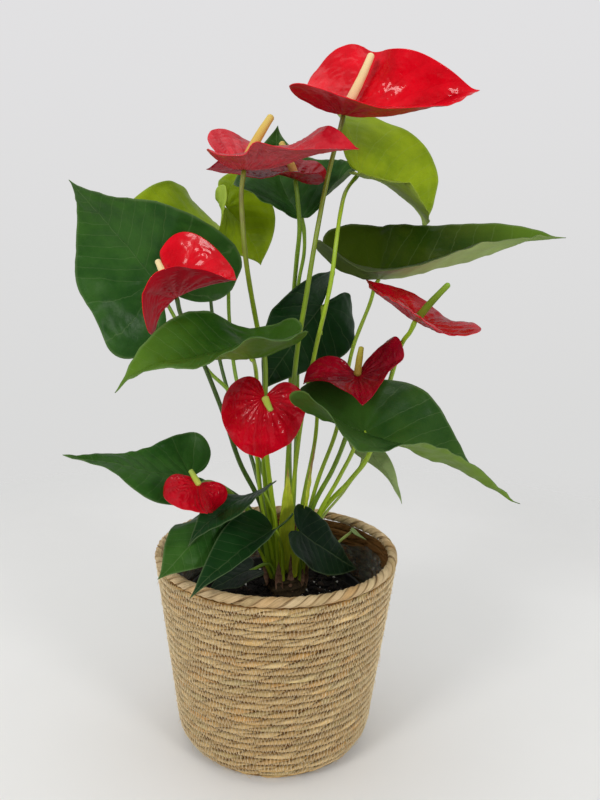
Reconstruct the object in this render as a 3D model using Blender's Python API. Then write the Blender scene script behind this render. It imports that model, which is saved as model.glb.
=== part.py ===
"""Anthurium with red flowers, in a nursery pot that stands inside a coiled seagrass basket.

Lengths are in metres unless a name or a comment says millimetres. The origin is the middle of
the basket's base, on the surface that it stands on, and +Z is up. Leaves, spathes and stalks
are placed in millimetres from the middle of the potting mix's surface, and the sheaths from the
crown's top, so the plant follows the pot when the pot or the basket changes.
"""

import math
from dataclasses import dataclass

import bpy
import numpy as np
from mathutils import Vector

MM = 0.001
CLEARANCE = 0.0003

BASKET_HEIGHT = 0.168
BASKET_RIM_RADIUS = 0.0985
BASKET_BASE_RADIUS = 0.0785
BASKET_WALL = 0.005
BASKET_FLOOR = 0.007
BASKET_FOOT_ROUNDING = 0.014
BRAID_RADIUS = 0.004
LINER_WALL = 0.0006
LINER_BELOW_BRAID = 0.010
POT_RIM_RADIUS = 0.076
POT_BASE_RADIUS = 0.055
POT_WALL = 0.0015
POT_LIP_DEPTH = 0.008
POT_LIP_STEP = 0.003
POT_BELOW_BASKET_TOP = 0.042
MIX_BELOW_POT_RIM = 0.006
MIX_MOUND = 0.004
MIX_MOUND_SHARE = 0.5
CROWN_RADIUS = 0.018
CROWN_HEIGHT = 0.014
CROWN_PLACE = (0.008, 0.015)
CROWN_SHOULDER_SHARE = 0.6
CROWN_TOP_SHARE = 0.9
LEAF_THICKNESS = 0.0008
SPATHE_THICKNESS = 0.0010
PETIOLE_RADIUS = 0.0017
PEDUNCLE_RADIUS = 0.0019
SMALL_PETIOLE_RADIUS = 0.0013
STALK_TIP_SHARE = 0.8
SPADIX_SEAT = 0.5
SPADIX_STATIONS = (0, 0.06, 0.4, 0.75, 0.92, 0.98, 1.0)
SPADIX_WIDTHS = (0.75, 1.0, 1.0, 0.85, 0.7, 0.5, 0.25)

TURNED_SIDES = 40
CROWN_SIDES = 20
SHARP_DEGREES = 40
BRAID_SIDES = 8
STALK_POINTS = 12
FOOT_ARC_DEGREES = (0, 30, 60)
BLADE_RINGS = 3
SMALL_BLADE_RINGS = 2
OUTLINE_POINTS = 14

WALL_TOP = BASKET_HEIGHT - 2 * BRAID_RADIUS - CLEARANCE
POT_FLOOR = BASKET_FLOOR + LINER_WALL + 2 * CLEARANCE
POT_RIM = BASKET_HEIGHT - POT_BELOW_BASKET_TOP
MIX_EDGE = POT_RIM - MIX_BELOW_POT_RIM
MIX_TOP = MIX_EDGE + MIX_MOUND
CROWN_FOOT = MIX_TOP + CLEARANCE
CROWN_TOP = CROWN_FOOT + CROWN_HEIGHT

LEAF_OUTLINE = [
    (0, 1),
    (0.035, 0.955),
    (0.10, 0.90),
    (0.24, 0.80),
    (0.52, 0.60),
    (0.82, 0.36),
    (0.985, 0.12),
    (0.97, -0.35),
    (0.80, -0.82),
    (0.52, -1.0),
    (0.27, -0.82),
    (0.10, -0.42),
    (0, 0),
]
SPATHE_OUTLINE = [
    (0, 1),
    (0.05, 0.955),
    (0.16, 0.89),
    (0.38, 0.76),
    (0.68, 0.54),
    (0.92, 0.28),
    (1.0, 0.02),
    (0.93, -0.45),
    (0.74, -0.88),
    (0.48, -1.0),
    (0.24, -0.78),
    (0.08, -0.35),
    (0, 0),
]
LEAF_KEEL = 4.0
SPATHE_KEEL = 5.0


@dataclass(frozen=True)
class Blade:
    """A heart-shaped blade, in millimetres and degrees.

    Pairs are the left and the right half, looking from foot to tip with the upper face up.
    foot is where the stalk joins, and lobe is how far the lobes reach behind it, as a share of
    the length. arch and droop bend the midrib up, sway bends it sideways, fold lifts each half
    at the foot and tip_fold at the tip, curl rolls its margin up, and wave ruffles the margin.
    """

    foot: tuple
    tip: tuple
    roll: float
    width: float
    lobe: float
    arch: float = 0.0
    droop: float = 0.0
    sway: float = 0.0
    lobe_drop: float = 0.0
    twist: float = 0.0
    fold: tuple = (0, 0)
    tip_fold: tuple = (0, 0)
    curl: tuple = (0, 0)
    lobe_fold: tuple = (0, 0)
    wave: tuple = (0, 0)
    phase: tuple = (0, 0)


def unit(vector):
    """The vector at length one."""
    return vector / np.linalg.norm(vector)


def smooth_curve(points, count):
    """Evenly spread points on a Catmull-Rom curve through the given points."""
    points = np.asarray(points, float)
    ends = np.vstack([2 * points[0] - points[1], points, 2 * points[-1] - points[-2]])
    place = np.linspace(0, len(points) - 1, count)
    step = np.minimum(place.astype(int), len(points) - 2)
    part = (place - step)[:, None]
    before, start, stop, after = (ends[step + shift] for shift in range(4))
    linear = (stop - before) * part
    square = (2 * before - 5 * start + 4 * stop - after) * part**2
    cube = (3 * start - before - 3 * stop + after) * part**3
    return 0.5 * (2 * start + linear + square + cube)


def upper_face(blade):
    """(along, normal, across) unit vectors of a blade: foot to tip, out of its face, right."""
    along = unit(np.subtract(blade.tip, blade.foot).astype(float))
    heading = math.atan2(along[0], along[1])
    rise = math.asin(along[2])
    back = -math.sin(rise)
    flat = np.array([back * math.sin(heading), back * math.cos(heading), math.cos(rise)])
    roll = math.radians(blade.roll)
    normal = flat * math.cos(roll) + np.cross(along, flat) * math.sin(roll)
    return along, normal, np.cross(along, normal)


def midrib(blade, along, normal, across):
    """The four control points of the midrib's Bezier curve."""
    foot = np.array(blade.foot, float)
    tip = np.array(blade.tip, float)
    length = np.linalg.norm(tip - foot)
    aside = across * length * blade.sway
    low = foot + along * length * 0.33 + normal * length * blade.arch + aside
    high = foot + along * length * 0.67 + normal * length * (blade.arch + blade.droop) + aside
    return foot, low, high, tip


def blade_points(blade, offset, station, keel):
    """Points of a blade in millimetres.

    offset is the signed distance from the midrib, plus to the right, and station runs from 0 at
    the foot to 1 at the tip, and below 0 on the lobes.
    """
    along, normal, across = upper_face(blade)
    foot, low, high, tip = midrib(blade, along, normal, across)
    length = np.linalg.norm(tip - foot)
    ahead = np.clip(station, 0, 1)[:, None]
    rest = 1 - ahead
    line = rest**3 * foot + 3 * rest**2 * ahead * low + 3 * rest * ahead**2 * high + ahead**3 * tip
    slope = rest**2 * (low - foot) + 2 * rest * ahead * (high - low) + ahead**2 * (tip - high)
    slope /= np.linalg.norm(slope, axis=1, keepdims=True)
    first = unit(low - foot)
    first_up = unit(normal - first * (normal @ first))
    lobe_part = np.clip(-station / blade.lobe, 0, 1)
    behind = np.minimum(station, 0) * length
    tilt = np.radians(blade.lobe_drop) * lobe_part * 0.5
    line = line + (behind * np.cos(tilt))[:, None] * first - (behind * np.sin(tilt))[:, None] * first_up
    up = np.cross(across, slope)
    up /= np.linalg.norm(up, axis=1, keepdims=True)
    right = np.cross(slope, up)
    turn = np.radians(blade.twist) * ahead
    right, up = right * np.cos(turn) + up * np.sin(turn), up * np.cos(turn) - right * np.sin(turn)
    is_right = offset >= 0

    def half(pair):
        return np.where(is_right, pair[1], pair[0])

    distance = np.abs(offset)
    share = distance / (blade.width / 2)
    at_foot = half(blade.fold)
    along_fold = (half(blade.tip_fold) - at_foot) * ahead[:, 0]
    lift = np.radians(at_foot + along_fold + half(blade.lobe_fold) * lobe_part)
    bend = np.radians(half(blade.curl)) / (blade.width / 2)
    straight = np.abs(bend) < 1e-6
    safe_bend = np.where(straight, 1, bend)
    end = lift + bend * distance
    out = np.where(straight, distance * np.cos(lift), (np.sin(end) - np.sin(lift)) / safe_bend)
    raised = np.where(straight, distance * np.sin(lift), (np.cos(lift) - np.cos(end)) / safe_bend)
    rounding = np.sqrt(distance**2 + keel**2) - keel
    raised = raised * np.where(distance > 1e-6, rounding / np.maximum(distance, 1e-6), 0)
    ruffle = np.sin(2 * np.pi * (0.9 * station + half(blade.phase)))
    raised = raised + half(blade.wave) * np.clip(share, 0, 1.2) ** 2 * ruffle
    return line + right * (np.sign(offset) * out)[:, None] + up * raised[:, None]


@dataclass(frozen=True)
class Flower:
    """A spathe with its spadix and its peduncle, in millimetres.

    root is where the peduncle leaves the crown's flat top, from its middle, route is what it
    passes through on its way up, and spadix_tip is where the spadix ends.
    """

    spathe: Blade
    root: tuple
    route: list
    spadix_tip: tuple
    spadix_radius: float


@dataclass(frozen=True)
class Leaf:
    """A leaf blade and the route of its petiole, in millimetres, as in Flower."""

    blade: Blade
    root: tuple
    route: list
    small: bool = False


FLOWERS = {
    "top_right": Flower(
        Blade(
            foot=(44, 2, 386),
            tip=(145, 6, 406),
            roll=25,
            width=132,
            lobe=0.35,
            arch=-0.08,
            droop=0.1,
            sway=0.12,
            lobe_drop=5,
            twist=-20,
            fold=(30, 40),
            tip_fold=(75, 35),
            curl=(15, -20),
            lobe_fold=(-25, 5),
            wave=(-13, 2),
        ),
        root=(0, 0),
        route=[(7, 14, 79), (9, 9, 141), (13, -1, 204), (19, -9, 248), (26, -8, 297), (34, 2, 342)],
        spadix_tip=(64, 8, 430),
        spadix_radius=3.6,
    ),
    "upper_left": Flower(
        Blade(
            foot=(-28, -28, 343),
            tip=(53, -52, 357),
            roll=25,
            width=102,
            lobe=0.3,
            arch=-0.1,
            droop=0.14,
            sway=-0.1,
            lobe_drop=30,
            twist=-5,
            fold=(20, 50),
            tip_fold=(45, 40),
            curl=(-45, -30),
            lobe_fold=(5, 5),
            wave=(-11, 9),
            phase=(-0.1, 0),
        ),
        root=(-5, 0),
        route=[
            (-9, 4, 82),
            (-12, -9, 137),
            (-11, -9, 169),
            (-12, -4, 202),
            (-18, -5, 226),
            (-25, -34, 277),
            (-29, -32, 321),
        ],
        spadix_tip=(-8, -22, 381),
        spadix_radius=3.6,
    ),
    "upper_back": Flower(
        Blade(
            foot=(9, 23, 340),
            tip=(-59, 11, 346),
            roll=-10,
            width=74,
            lobe=0.3,
            arch=0.1,
            droop=-0.08,
            sway=0.08,
            lobe_drop=10,
            twist=20,
            fold=(15, 20),
            tip_fold=(0, 35),
            curl=(-10, 15),
            lobe_fold=(15, 0),
            wave=(-1, -6),
        ),
        root=(-2.5, 4.3),
        route=[
            (9, 27, 74),
            (8, 40, 124),
            (8, 58, 182),
            (9, 56, 243),
            (11, 40, 275),
            (13, 26, 301),
            (11, 24, 324),
        ],
        spadix_tip=(-3, 28, 368),
        spadix_radius=3.2,
    ),
    "left": Flower(
        Blade(
            foot=(-79, -16, 249),
            tip=(-32, -37, 265),
            roll=20,
            width=102,
            lobe=0.4,
            arch=0.1,
            droop=-0.12,
            sway=-0.08,
            lobe_drop=-30,
            twist=10,
            fold=(30, 30),
            tip_fold=(25, 55),
            curl=(35, -5),
            lobe_fold=(-25, -35),
            wave=(8, 4),
            phase=(0, -0.1),
        ),
        root=(-10, 0),
        route=[(-13, 14, 70), (-32, 10, 112), (-45, 6, 153), (-58, 2, 189), (-67, 0, 210), (-77, -4, 233)],
        spadix_tip=(-96, 0, 276),
        spadix_radius=3.2,
    ),
    "right": Flower(
        Blade(
            foot=(101, -32, 237),
            tip=(66, 4, 264),
            roll=20,
            width=88,
            lobe=0.7,
            arch=-0.04,
            droop=0.04,
            sway=0.04,
            lobe_drop=10,
            twist=10,
            fold=(20, 30),
            tip_fold=(10, 35),
            curl=(-15, -20),
            lobe_fold=(-15, 15),
            wave=(2, -2),
            phase=(-0.3, 0),
        ),
        root=(15, 0),
        route=[(34, 16, 63), (60, 13, 98), (75, 10, 123), (84, 0, 169), (92, -18, 214), (98, -27, 228)],
        spadix_tip=(121, -50, 266),
        spadix_radius=2.8,
    ),
    "mid_right": Flower(
        Blade(
            foot=(60, -25, 193),
            tip=(62, -59, 178),
            roll=20,
            width=86,
            lobe=0.6,
            arch=-0.02,
            sway=0.02,
            twist=25,
            fold=(15, 30),
            tip_fold=(45, 55),
            curl=(20, -45),
            lobe_fold=(-5, 10),
            wave=(-7, 0),
            phase=(0.1, -0.3),
        ),
        root=(10, 0),
        route=[(28, 16, 68), (45, 15, 106), (54, 13, 132), (57, 10, 150), (58, 3, 177), (56, -8, 190)],
        spadix_tip=(62, -26, 216),
        spadix_radius=2.8,
    ),
    "centre": Flower(
        Blade(
            foot=(-9, -56, 181),
            tip=(-9, -90, 145),
            roll=5,
            width=72,
            lobe=0.35,
            arch=-0.08,
            droop=-0.1,
            sway=0.06,
            lobe_drop=-15,
            fold=(-10, -25),
            tip_fold=(-20, -25),
            curl=(-40, 5),
            lobe_fold=(-10, 0),
            wave=(-9, 5),
            phase=(-0.3, -0.1),
        ),
        root=(-2.5, -4.3),
        route=[(-2, 3, 65), (-7, -10, 108), (-10, -24, 141), (-12, -40, 168)],
        spadix_tip=(-4, -63, 173),
        spadix_radius=2.6,
    ),
    "low_left": Flower(
        Blade(
            foot=(-57, -61, 115),
            tip=(-48, -83, 101),
            roll=-15,
            width=58,
            lobe=0.3,
            arch=-0.02,
            droop=-0.12,
            sway=0.08,
            lobe_drop=-5,
            twist=10,
            fold=(-15, -5),
            tip_fold=(-30, -15),
            curl=(-30, -65),
            lobe_fold=(20, 5),
            wave=(4, 1),
            phase=(0.4, -0.4),
        ),
        root=(-12.5, -4.3),
        route=[(-14, 6, 57), (-39, -8, 92), (-47, -26, 104), (-53, -44, 112)],
        spadix_tip=(-63, -62, 127),
        spadix_radius=2.4,
    ),
}
LEAVES = {
    "big_left": Leaf(
        Blade(
            foot=(-106, 38, 258),
            tip=(-168, 21, 335),
            roll=220,
            width=146,
            lobe=0.45,
            arch=-0.06,
            sway=-0.04,
            lobe_drop=-5,
            twist=20,
            fold=(20, -20),
            curl=(40, -25),
            lobe_fold=(5, -20),
            wave=(13, -9),
            phase=(-0.3, 0.6),
        ),
        root=(-7.5, 4.3),
        route=[
            (-14, 24, 75),
            (-21, 32, 117),
            (-41, 38, 162),
            (-62, 42, 183),
            (-82, 46, 212),
            (-98, 46, 241),
        ],
    ),
    "pale_back": Leaf(
        Blade(
            foot=(-68, 103, 291),
            tip=(-162, 91, 281),
            roll=-55,
            width=118,
            lobe=0.2,
            arch=0.16,
            droop=0.08,
            sway=0.04,
            lobe_drop=5,
            twist=20,
            fold=(5, -5),
            tip_fold=(0, 40),
            curl=(-10, -30),
            lobe_fold=(10, -15),
            wave=(-8, 9),
            phase=(-0.1, -0.2),
        ),
        root=(-10, 8.7),
        route=[(-11, 32, 59), (-26, 54, 106), (-48, 80, 156), (-61, 98, 199), (-68, 106, 250)],
    ),
    "light_back": Leaf(
        Blade(
            foot=(-49, 71, 317),
            tip=(-20, 80, 270),
            roll=60,
            width=92,
            lobe=0.35,
            arch=0.04,
            droop=0.06,
            sway=-0.06,
            twist=-20,
            fold=(-5, 35),
            tip_fold=(30, -10),
            curl=(20, 5),
            lobe_fold=(-25, 35),
            wave=(-8, 11),
            phase=(0, -0.4),
        ),
        root=(-5, 8.7),
        route=[
            (-5, 26, 70),
            (-24, 42, 123),
            (-40, 60, 176),
            (-46, 66, 222),
            (-47, 66, 248),
            (-48, 67, 281),
        ],
    ),
    "dark_back": Leaf(
        Blade(
            foot=(15, 56, 311),
            tip=(-8, 96, 388),
            roll=-5,
            width=126,
            lobe=0.1,
            arch=-0.14,
            droop=-0.08,
            sway=-0.06,
            lobe_drop=-10,
            twist=10,
            fold=(35, 45),
            tip_fold=(5, 25),
            curl=(-15, 5),
            lobe_fold=(0, 25),
            wave=(5, 2),
            phase=(0.2, -0.2),
        ),
        root=(2.5, 4.3),
        route=[
            (13, 27, 70),
            (14, 42, 124),
            (14, 62, 173),
            (13, 66, 225),
            (13, 66, 255),
            (17, 64, 280),
            (17, 60, 297),
        ],
    ),
    "upper_right": Leaf(
        Blade(
            foot=(61, 48, 347),
            tip=(127, 114, 310),
            roll=70,
            width=140,
            lobe=0.3,
            arch=0.1,
            droop=0.14,
            sway=-0.06,
            lobe_drop=30,
            twist=-25,
            fold=(0, 55),
            tip_fold=(35, 15),
            curl=(-35, 10),
            lobe_fold=(30, -5),
            wave=(13, -4),
            phase=(-0.5, -0.6),
        ),
        root=(2.5, -4.3),
        route=[
            (12, 12, 80),
            (18, 6, 150),
            (25, 0, 193),
            (29, -4, 216),
            (34, -16, 242),
            (38, -19, 265),
            (41, -17, 294),
            (44, -4, 315),
            (49, 20, 332),
        ],
    ),
    "long_right": Leaf(
        Blade(
            foot=(77, 21, 264),
            tip=(230, 40, 300),
            roll=10,
            width=108,
            lobe=0.3,
            arch=-0.02,
            droop=0.12,
            sway=0.12,
            lobe_drop=30,
            twist=-15,
            fold=(25, 45),
            tip_fold=(50, 50),
            curl=(10, -35),
            lobe_fold=(15, 30),
            wave=(7, -5),
            phase=(0.3, 0.3),
        ),
        root=(7.5, 4.3),
        route=[(31, 22, 86), (47, 28, 134), (54, 32, 175), (60, 36, 207), (72, 36, 242), (75, 32, 256)],
    ),
    "dark_centre": Leaf(
        Blade(
            foot=(33, 50, 239),
            tip=(-16, 36, 167),
            roll=-95,
            width=90,
            lobe=0.3,
            arch=0.02,
            droop=-0.06,
            sway=0.02,
            lobe_drop=-15,
            twist=-15,
            fold=(0, 25),
            tip_fold=(15, 0),
            curl=(-15, 20),
            lobe_fold=(-25, 25),
            wave=(8, -8),
            phase=(0, -0.2),
        ),
        root=(5, 0),
        route=[(21, 22, 76), (30, 34, 126), (32, 46, 167), (34, 52, 205)],
    ),
    "centre_left": Leaf(
        Blade(
            foot=(-19, -62, 211),
            tip=(-112, -85, 189),
            roll=-5,
            width=120,
            lobe=0.4,
            arch=0.06,
            droop=0.16,
            sway=0.06,
            lobe_drop=25,
            twist=-5,
            fold=(45, 0),
            tip_fold=(5, 45),
            curl=(-55, 35),
            lobe_fold=(10, 5),
            wave=(-10, -8),
            phase=(-0.3, 0.3),
        ),
        root=(-7.5, -4.3),
        route=[(-13, 7, 77), (-17, 0, 117), (-18, -12, 150), (-17, -22, 186), (-18, -40, 204)],
    ),
    "lower_right": Leaf(
        Blade(
            foot=(65, -54, 156),
            tip=(173, -85, 113),
            roll=0,
            width=112,
            lobe=0.5,
            arch=0.02,
            droop=0.04,
            sway=-0.04,
            lobe_drop=-15,
            twist=20,
            fold=(40, 20),
            tip_fold=(-5, 30),
            curl=(30, -20),
            lobe_fold=(-25, 35),
            wave=(-12, 7),
            phase=(0.4, -0.2),
        ),
        root=(12.5, -4.3),
        route=[(30, 11, 58), (50, 6, 102), (62, 4, 131), (64, 6, 158), (66, 2, 165), (68, -16, 162)],
    ),
    "low_left": Leaf(
        Blade(
            foot=(-70, -8, 105),
            tip=(-160, -49, 133),
            roll=-15,
            width=74,
            lobe=0.2,
            arch=-0.02,
            droop=0.06,
            sway=-0.06,
            lobe_drop=10,
            twist=-10,
            fold=(-10, 5),
            tip_fold=(25, 0),
            curl=(-30, 35),
            lobe_fold=(-25, 25),
            wave=(-10, -8),
            phase=(-0.2, -0.2),
        ),
        root=(-15, 0),
        route=[(-20, 11, 66), (-44, 4, 92), (-61, 0, 98)],
    ),
    "rim_left": Leaf(
        Blade(
            foot=(-40, -38, 87),
            tip=(-82, -95, 55),
            roll=-5,
            width=72,
            lobe=0.15,
            arch=0.02,
            droop=-0.02,
            lobe_drop=-5,
            twist=10,
            fold=(-50, -20),
            tip_fold=(-35, 10),
            curl=(-15, -5),
            lobe_fold=(-5, -5),
            wave=(0, -8),
            phase=(-0.1, 0.1),
        ),
        root=(-11, -8.7),
        route=[(-19, 0, 48), (-36, -22, 78)],
        small=True,
    ),
    "tucked": Leaf(
        Blade(
            foot=(-11, -40, 106),
            tip=(-64, -71, 71),
            roll=20,
            width=52,
            lobe=0.15,
            arch=0.06,
            droop=0.06,
            sway=0.04,
            lobe_drop=-10,
            twist=20,
            fold=(10, -5),
            tip_fold=(-15, 35),
            curl=(-20, 30),
            lobe_fold=(15, 5),
            wave=(-3, 11),
            phase=(-0.3, -0.3),
        ),
        root=(-6.5, -9.5),
        route=[(-1, -14, 67), (-7, -34, 95)],
        small=True,
    ),
    "rim_front": Leaf(
        Blade(
            foot=(-3, -40, 73),
            tip=(-58, -106, 47),
            roll=0,
            width=56,
            lobe=0.1,
            arch=0.06,
            droop=0.04,
            sway=-0.02,
            lobe_drop=-5,
            twist=5,
            fold=(40, 15),
            tip_fold=(10, 30),
            curl=(5, 25),
            lobe_fold=(5, 5),
            wave=(2, 1),
            phase=(0.1, -0.1),
        ),
        root=(-2.5, -13),
        route=[(5, -14, 46), (0, -34, 70)],
        small=True,
    ),
    "soil_right": Leaf(
        Blade(
            foot=(19, -24, 66),
            tip=(68, 10, 20),
            roll=50,
            width=56,
            lobe=0.15,
            arch=0.04,
            droop=0.02,
            sway=0.08,
            fold=(5, 10),
            tip_fold=(5, 0),
            curl=(-5, -5),
            wave=(3, 3),
            phase=(-0.1, 0.3),
        ),
        root=(11, -11),
        route=[(21, -10, 50)],
        small=True,
    ),
    "soil_left": Leaf(
        Blade(
            foot=(-22, -6, 24),
            tip=(-56, -18, 10),
            roll=0,
            width=46,
            lobe=0.2,
            arch=0.06,
            droop=-0.02,
            sway=-0.02,
            lobe_drop=5,
            fold=(5, 5),
            tip_fold=(0, 5),
            curl=(-5, -5),
            wave=(-3, -2),
            phase=(-0.2, 0.1),
        ),
        root=(-7.5, -13),
        route=[(-6, -2, 28)],
        small=True,
    ),
    "hanging": Leaf(
        Blade(
            foot=(62, 35, 130),
            tip=(105, 25, 74),
            roll=20,
            width=26,
            lobe=0.2,
            arch=0.06,
            droop=0.08,
            sway=-0.04,
            twist=-20,
            fold=(35, 25),
            tip_fold=(15, 20),
            curl=(15, 10),
            lobe_fold=(5, 5),
            wave=(-7, 8),
            phase=(0.2, -0.4),
        ),
        root=(12.5, 4.3),
        route=[(34, 20, 55), (57, 32, 83), (71, 36, 109)],
        small=True,
    ),
}
SHEATHS = {
    "front": Blade(foot=(8, 5, 7), tip=(8, -2, 98), roll=180, width=7, lobe=0.05, fold=(20, 20)),
    "right": Blade(foot=(14, 5, 7), tip=(30, 0, 120), roll=180, width=7, lobe=0.05, fold=(20, 20)),
}
SPROUT = Leaf(
    Blade(foot=(66, 48, 40), tip=(78, 44, 33), roll=0, width=8, lobe=0.15, fold=(10, 10)),
    root=(45, 47),
    route=[(49, 48, 22)],
    small=True,
)


def material(name, colour, roughness, metallic=0.0):
    """A Principled material in one colour."""
    finish = bpy.data.materials.new(name)
    finish.use_nodes = True
    shader = finish.node_tree.nodes["Principled BSDF"]
    shader.inputs["Base Color"].default_value = (*colour, 1)
    shader.inputs["Roughness"].default_value = roughness
    shader.inputs["Metallic"].default_value = metallic
    finish.diffuse_color = (*colour, 1)
    return finish


def add_object(name, data, finish, parent=None):
    """Puts a mesh or a curve in the scene as one named object."""
    thing = bpy.data.objects.new(name, data)
    data.materials.append(finish)
    bpy.context.scene.collection.objects.link(thing)
    thing.parent = parent
    return thing


def mesh_from(name, points, faces):
    """A smooth-shaded mesh from points in metres."""
    mesh = bpy.data.meshes.new(name)
    mesh.from_pydata([tuple(point) for point in points], [], faces)
    mesh.shade_smooth()
    return mesh


def turned(name, profile, finish, sides=TURNED_SIDES):
    """A solid turned about Z from (radius, height) points that go from the axis, round its
    outside, and back to the axis. Its lower end comes first."""
    points = []
    rings = []
    for radius, height in profile:
        if radius == 0:
            rings.append([len(points)] * sides)
            points.append((0, 0, height))
            continue
        rings.append([len(points) + step for step in range(sides)])
        for step in range(sides):
            angle = 2 * math.pi * step / sides
            points.append((radius * math.cos(angle), radius * math.sin(angle), height))
    faces = []
    for low, high in zip(rings, rings[1:]):
        for step in range(sides):
            after = (step + 1) % sides
            corners = [low[step], low[after], high[after], high[step]]
            faces.append([corner for place, corner in enumerate(corners) if corner not in corners[:place]])
    mesh = mesh_from(name, points, faces)
    mesh.set_sharp_from_angle(angle=math.radians(SHARP_DEGREES))
    return add_object(name, mesh, finish)


def blade_sheet(blade, outline, keel, rings, level):
    """Points in metres and faces of a blade's middle surface, fanned out from its foot."""
    edge = np.array(outline, float)
    edge[edge[:, 1] < 0, 1] *= blade.lobe
    edge = smooth_curve(edge, OUTLINE_POINTS)[:-1]
    offsets = [0.0]
    stations = [0.0]
    index = {}
    for side in (1, -1):
        for column, (across, ahead) in enumerate(edge):
            for ring in range(1, rings + 1):
                if column == 0 and side == -1:
                    index[side, column, ring] = index[1, 0, ring]
                    continue
                index[side, column, ring] = len(offsets)
                share = ring / rings
                offsets.append(side * across * share * blade.width / 2)
                stations.append(ahead * share)
    faces = []
    for side in (1, -1):
        for column in range(len(edge) - 1):
            for ring in range(rings):
                inner = [index[side, column, ring], index[side, column + 1, ring]] if ring else [0]
                outer = [index[side, column + 1, ring + 1], index[side, column, ring + 1]]
                face = inner + outer
                faces.append(face if side == -1 else face[::-1])
    points = blade_points(blade, np.array(offsets), np.array(stations), keel)
    return points * MM + (0, 0, level), faces


def blade_object(name, blade, outline, keel, thickness, finish, rings=BLADE_RINGS, level=MIX_TOP):
    """A blade as one closed solid of even thickness about its middle surface.

    level is the height that the blade's millimetres are counted from.
    """
    points, faces = blade_sheet(blade, outline, keel, rings, level)
    thing = add_object(name, mesh_from(name, points, faces), finish)
    shell = thing.modifiers.new("thickness", "SOLIDIFY")
    shell.thickness = thickness
    shell.offset = 0
    return thing


def crown_point(root, radius):
    """Where a stalk of this radius starts, in metres, just above the crown's flat top."""
    return np.array([CROWN_PLACE[0], CROWN_PLACE[1], 0]) + (
        root[0] * MM,
        root[1] * MM,
        CROWN_TOP + CLEARANCE + radius,
    )


def stalk_line(start, route, end):
    """The points of a stalk in metres, on a smooth curve from the crown to the blade."""
    between = np.array(route, float) * MM + (0, 0, MIX_TOP)
    return smooth_curve(np.vstack([start, between, end]), STALK_POINTS)


def tube_curve(name, line, radii):
    """A round tube along the points, with the radius at each."""
    curve = bpy.data.curves.new(name, "CURVE")
    curve.dimensions = "3D"
    curve.bevel_depth = 1.0
    curve.bevel_resolution = 1
    curve.use_fill_caps = True
    spline = curve.splines.new("POLY")
    spline.points.add(len(line) - 1)
    for knot, place, radius in zip(spline.points, line, radii):
        knot.co = (*place, 1)
        knot.radius = radius
    return curve


def below_foot(blade, thickness, radius):
    """Where a stalk of this radius ends, in metres, just under the blade's foot."""
    normal = upper_face(blade)[1]
    foot = np.array(blade.foot, float) * MM + (0, 0, MIX_TOP)
    return foot - normal * (thickness / 2 + CLEARANCE + radius)


def stalk_object(name, start, route, end, radius, finish):
    """A petiole or a peduncle from the crown to just under its blade."""
    radii = np.linspace(radius, radius * STALK_TIP_SHARE, STALK_POINTS)
    return add_object(name, tube_curve(name, stalk_line(start, route, end), radii), finish)


def spadix_object(name, flower, finish):
    """The finger on a spathe: a round column with a narrower, rounded tip."""
    normal = upper_face(flower.spathe)[1]
    foot = np.array(flower.spathe.foot, float)
    tip = np.array(flower.spadix_tip, float)
    lean = unit(tip - foot)
    tilt = math.sqrt(max(0.0, 1 - (lean @ normal) ** 2))
    lift = SPATHE_THICKNESS / MM / 2 + CLEARANCE / MM + flower.spadix_radius * (tilt + SPADIX_SEAT)
    start = foot + normal * lift
    line = start + (tip - start) * np.array(SPADIX_STATIONS)[:, None]
    line = line * MM + (0, 0, MIX_TOP)
    radii = np.array(SPADIX_WIDTHS) * flower.spadix_radius * MM
    return add_object(name, tube_curve(name, line, radii), finish)


def join_petiole(thing, name, start, route, end, finish):
    """Makes a small leaf's blade and petiole one solid."""
    radii = np.linspace(SMALL_PETIOLE_RADIUS, SMALL_PETIOLE_RADIUS * STALK_TIP_SHARE, STALK_POINTS)
    guide = add_object(name + "_guide", tube_curve(name, stalk_line(start, route, end), radii), finish)
    bpy.context.view_layer.update()
    mesh = bpy.data.meshes.new_from_object(guide.evaluated_get(bpy.context.evaluated_depsgraph_get()))
    bpy.data.objects.remove(guide)
    petiole = add_object(name + "_petiole_cutter", mesh, finish)
    petiole.hide_render = True
    petiole.display_type = "WIRE"
    union = thing.modifiers.new("petiole", "BOOLEAN")
    union.operation = "UNION"
    union.solver = "EXACT"
    union.object = petiole


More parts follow.
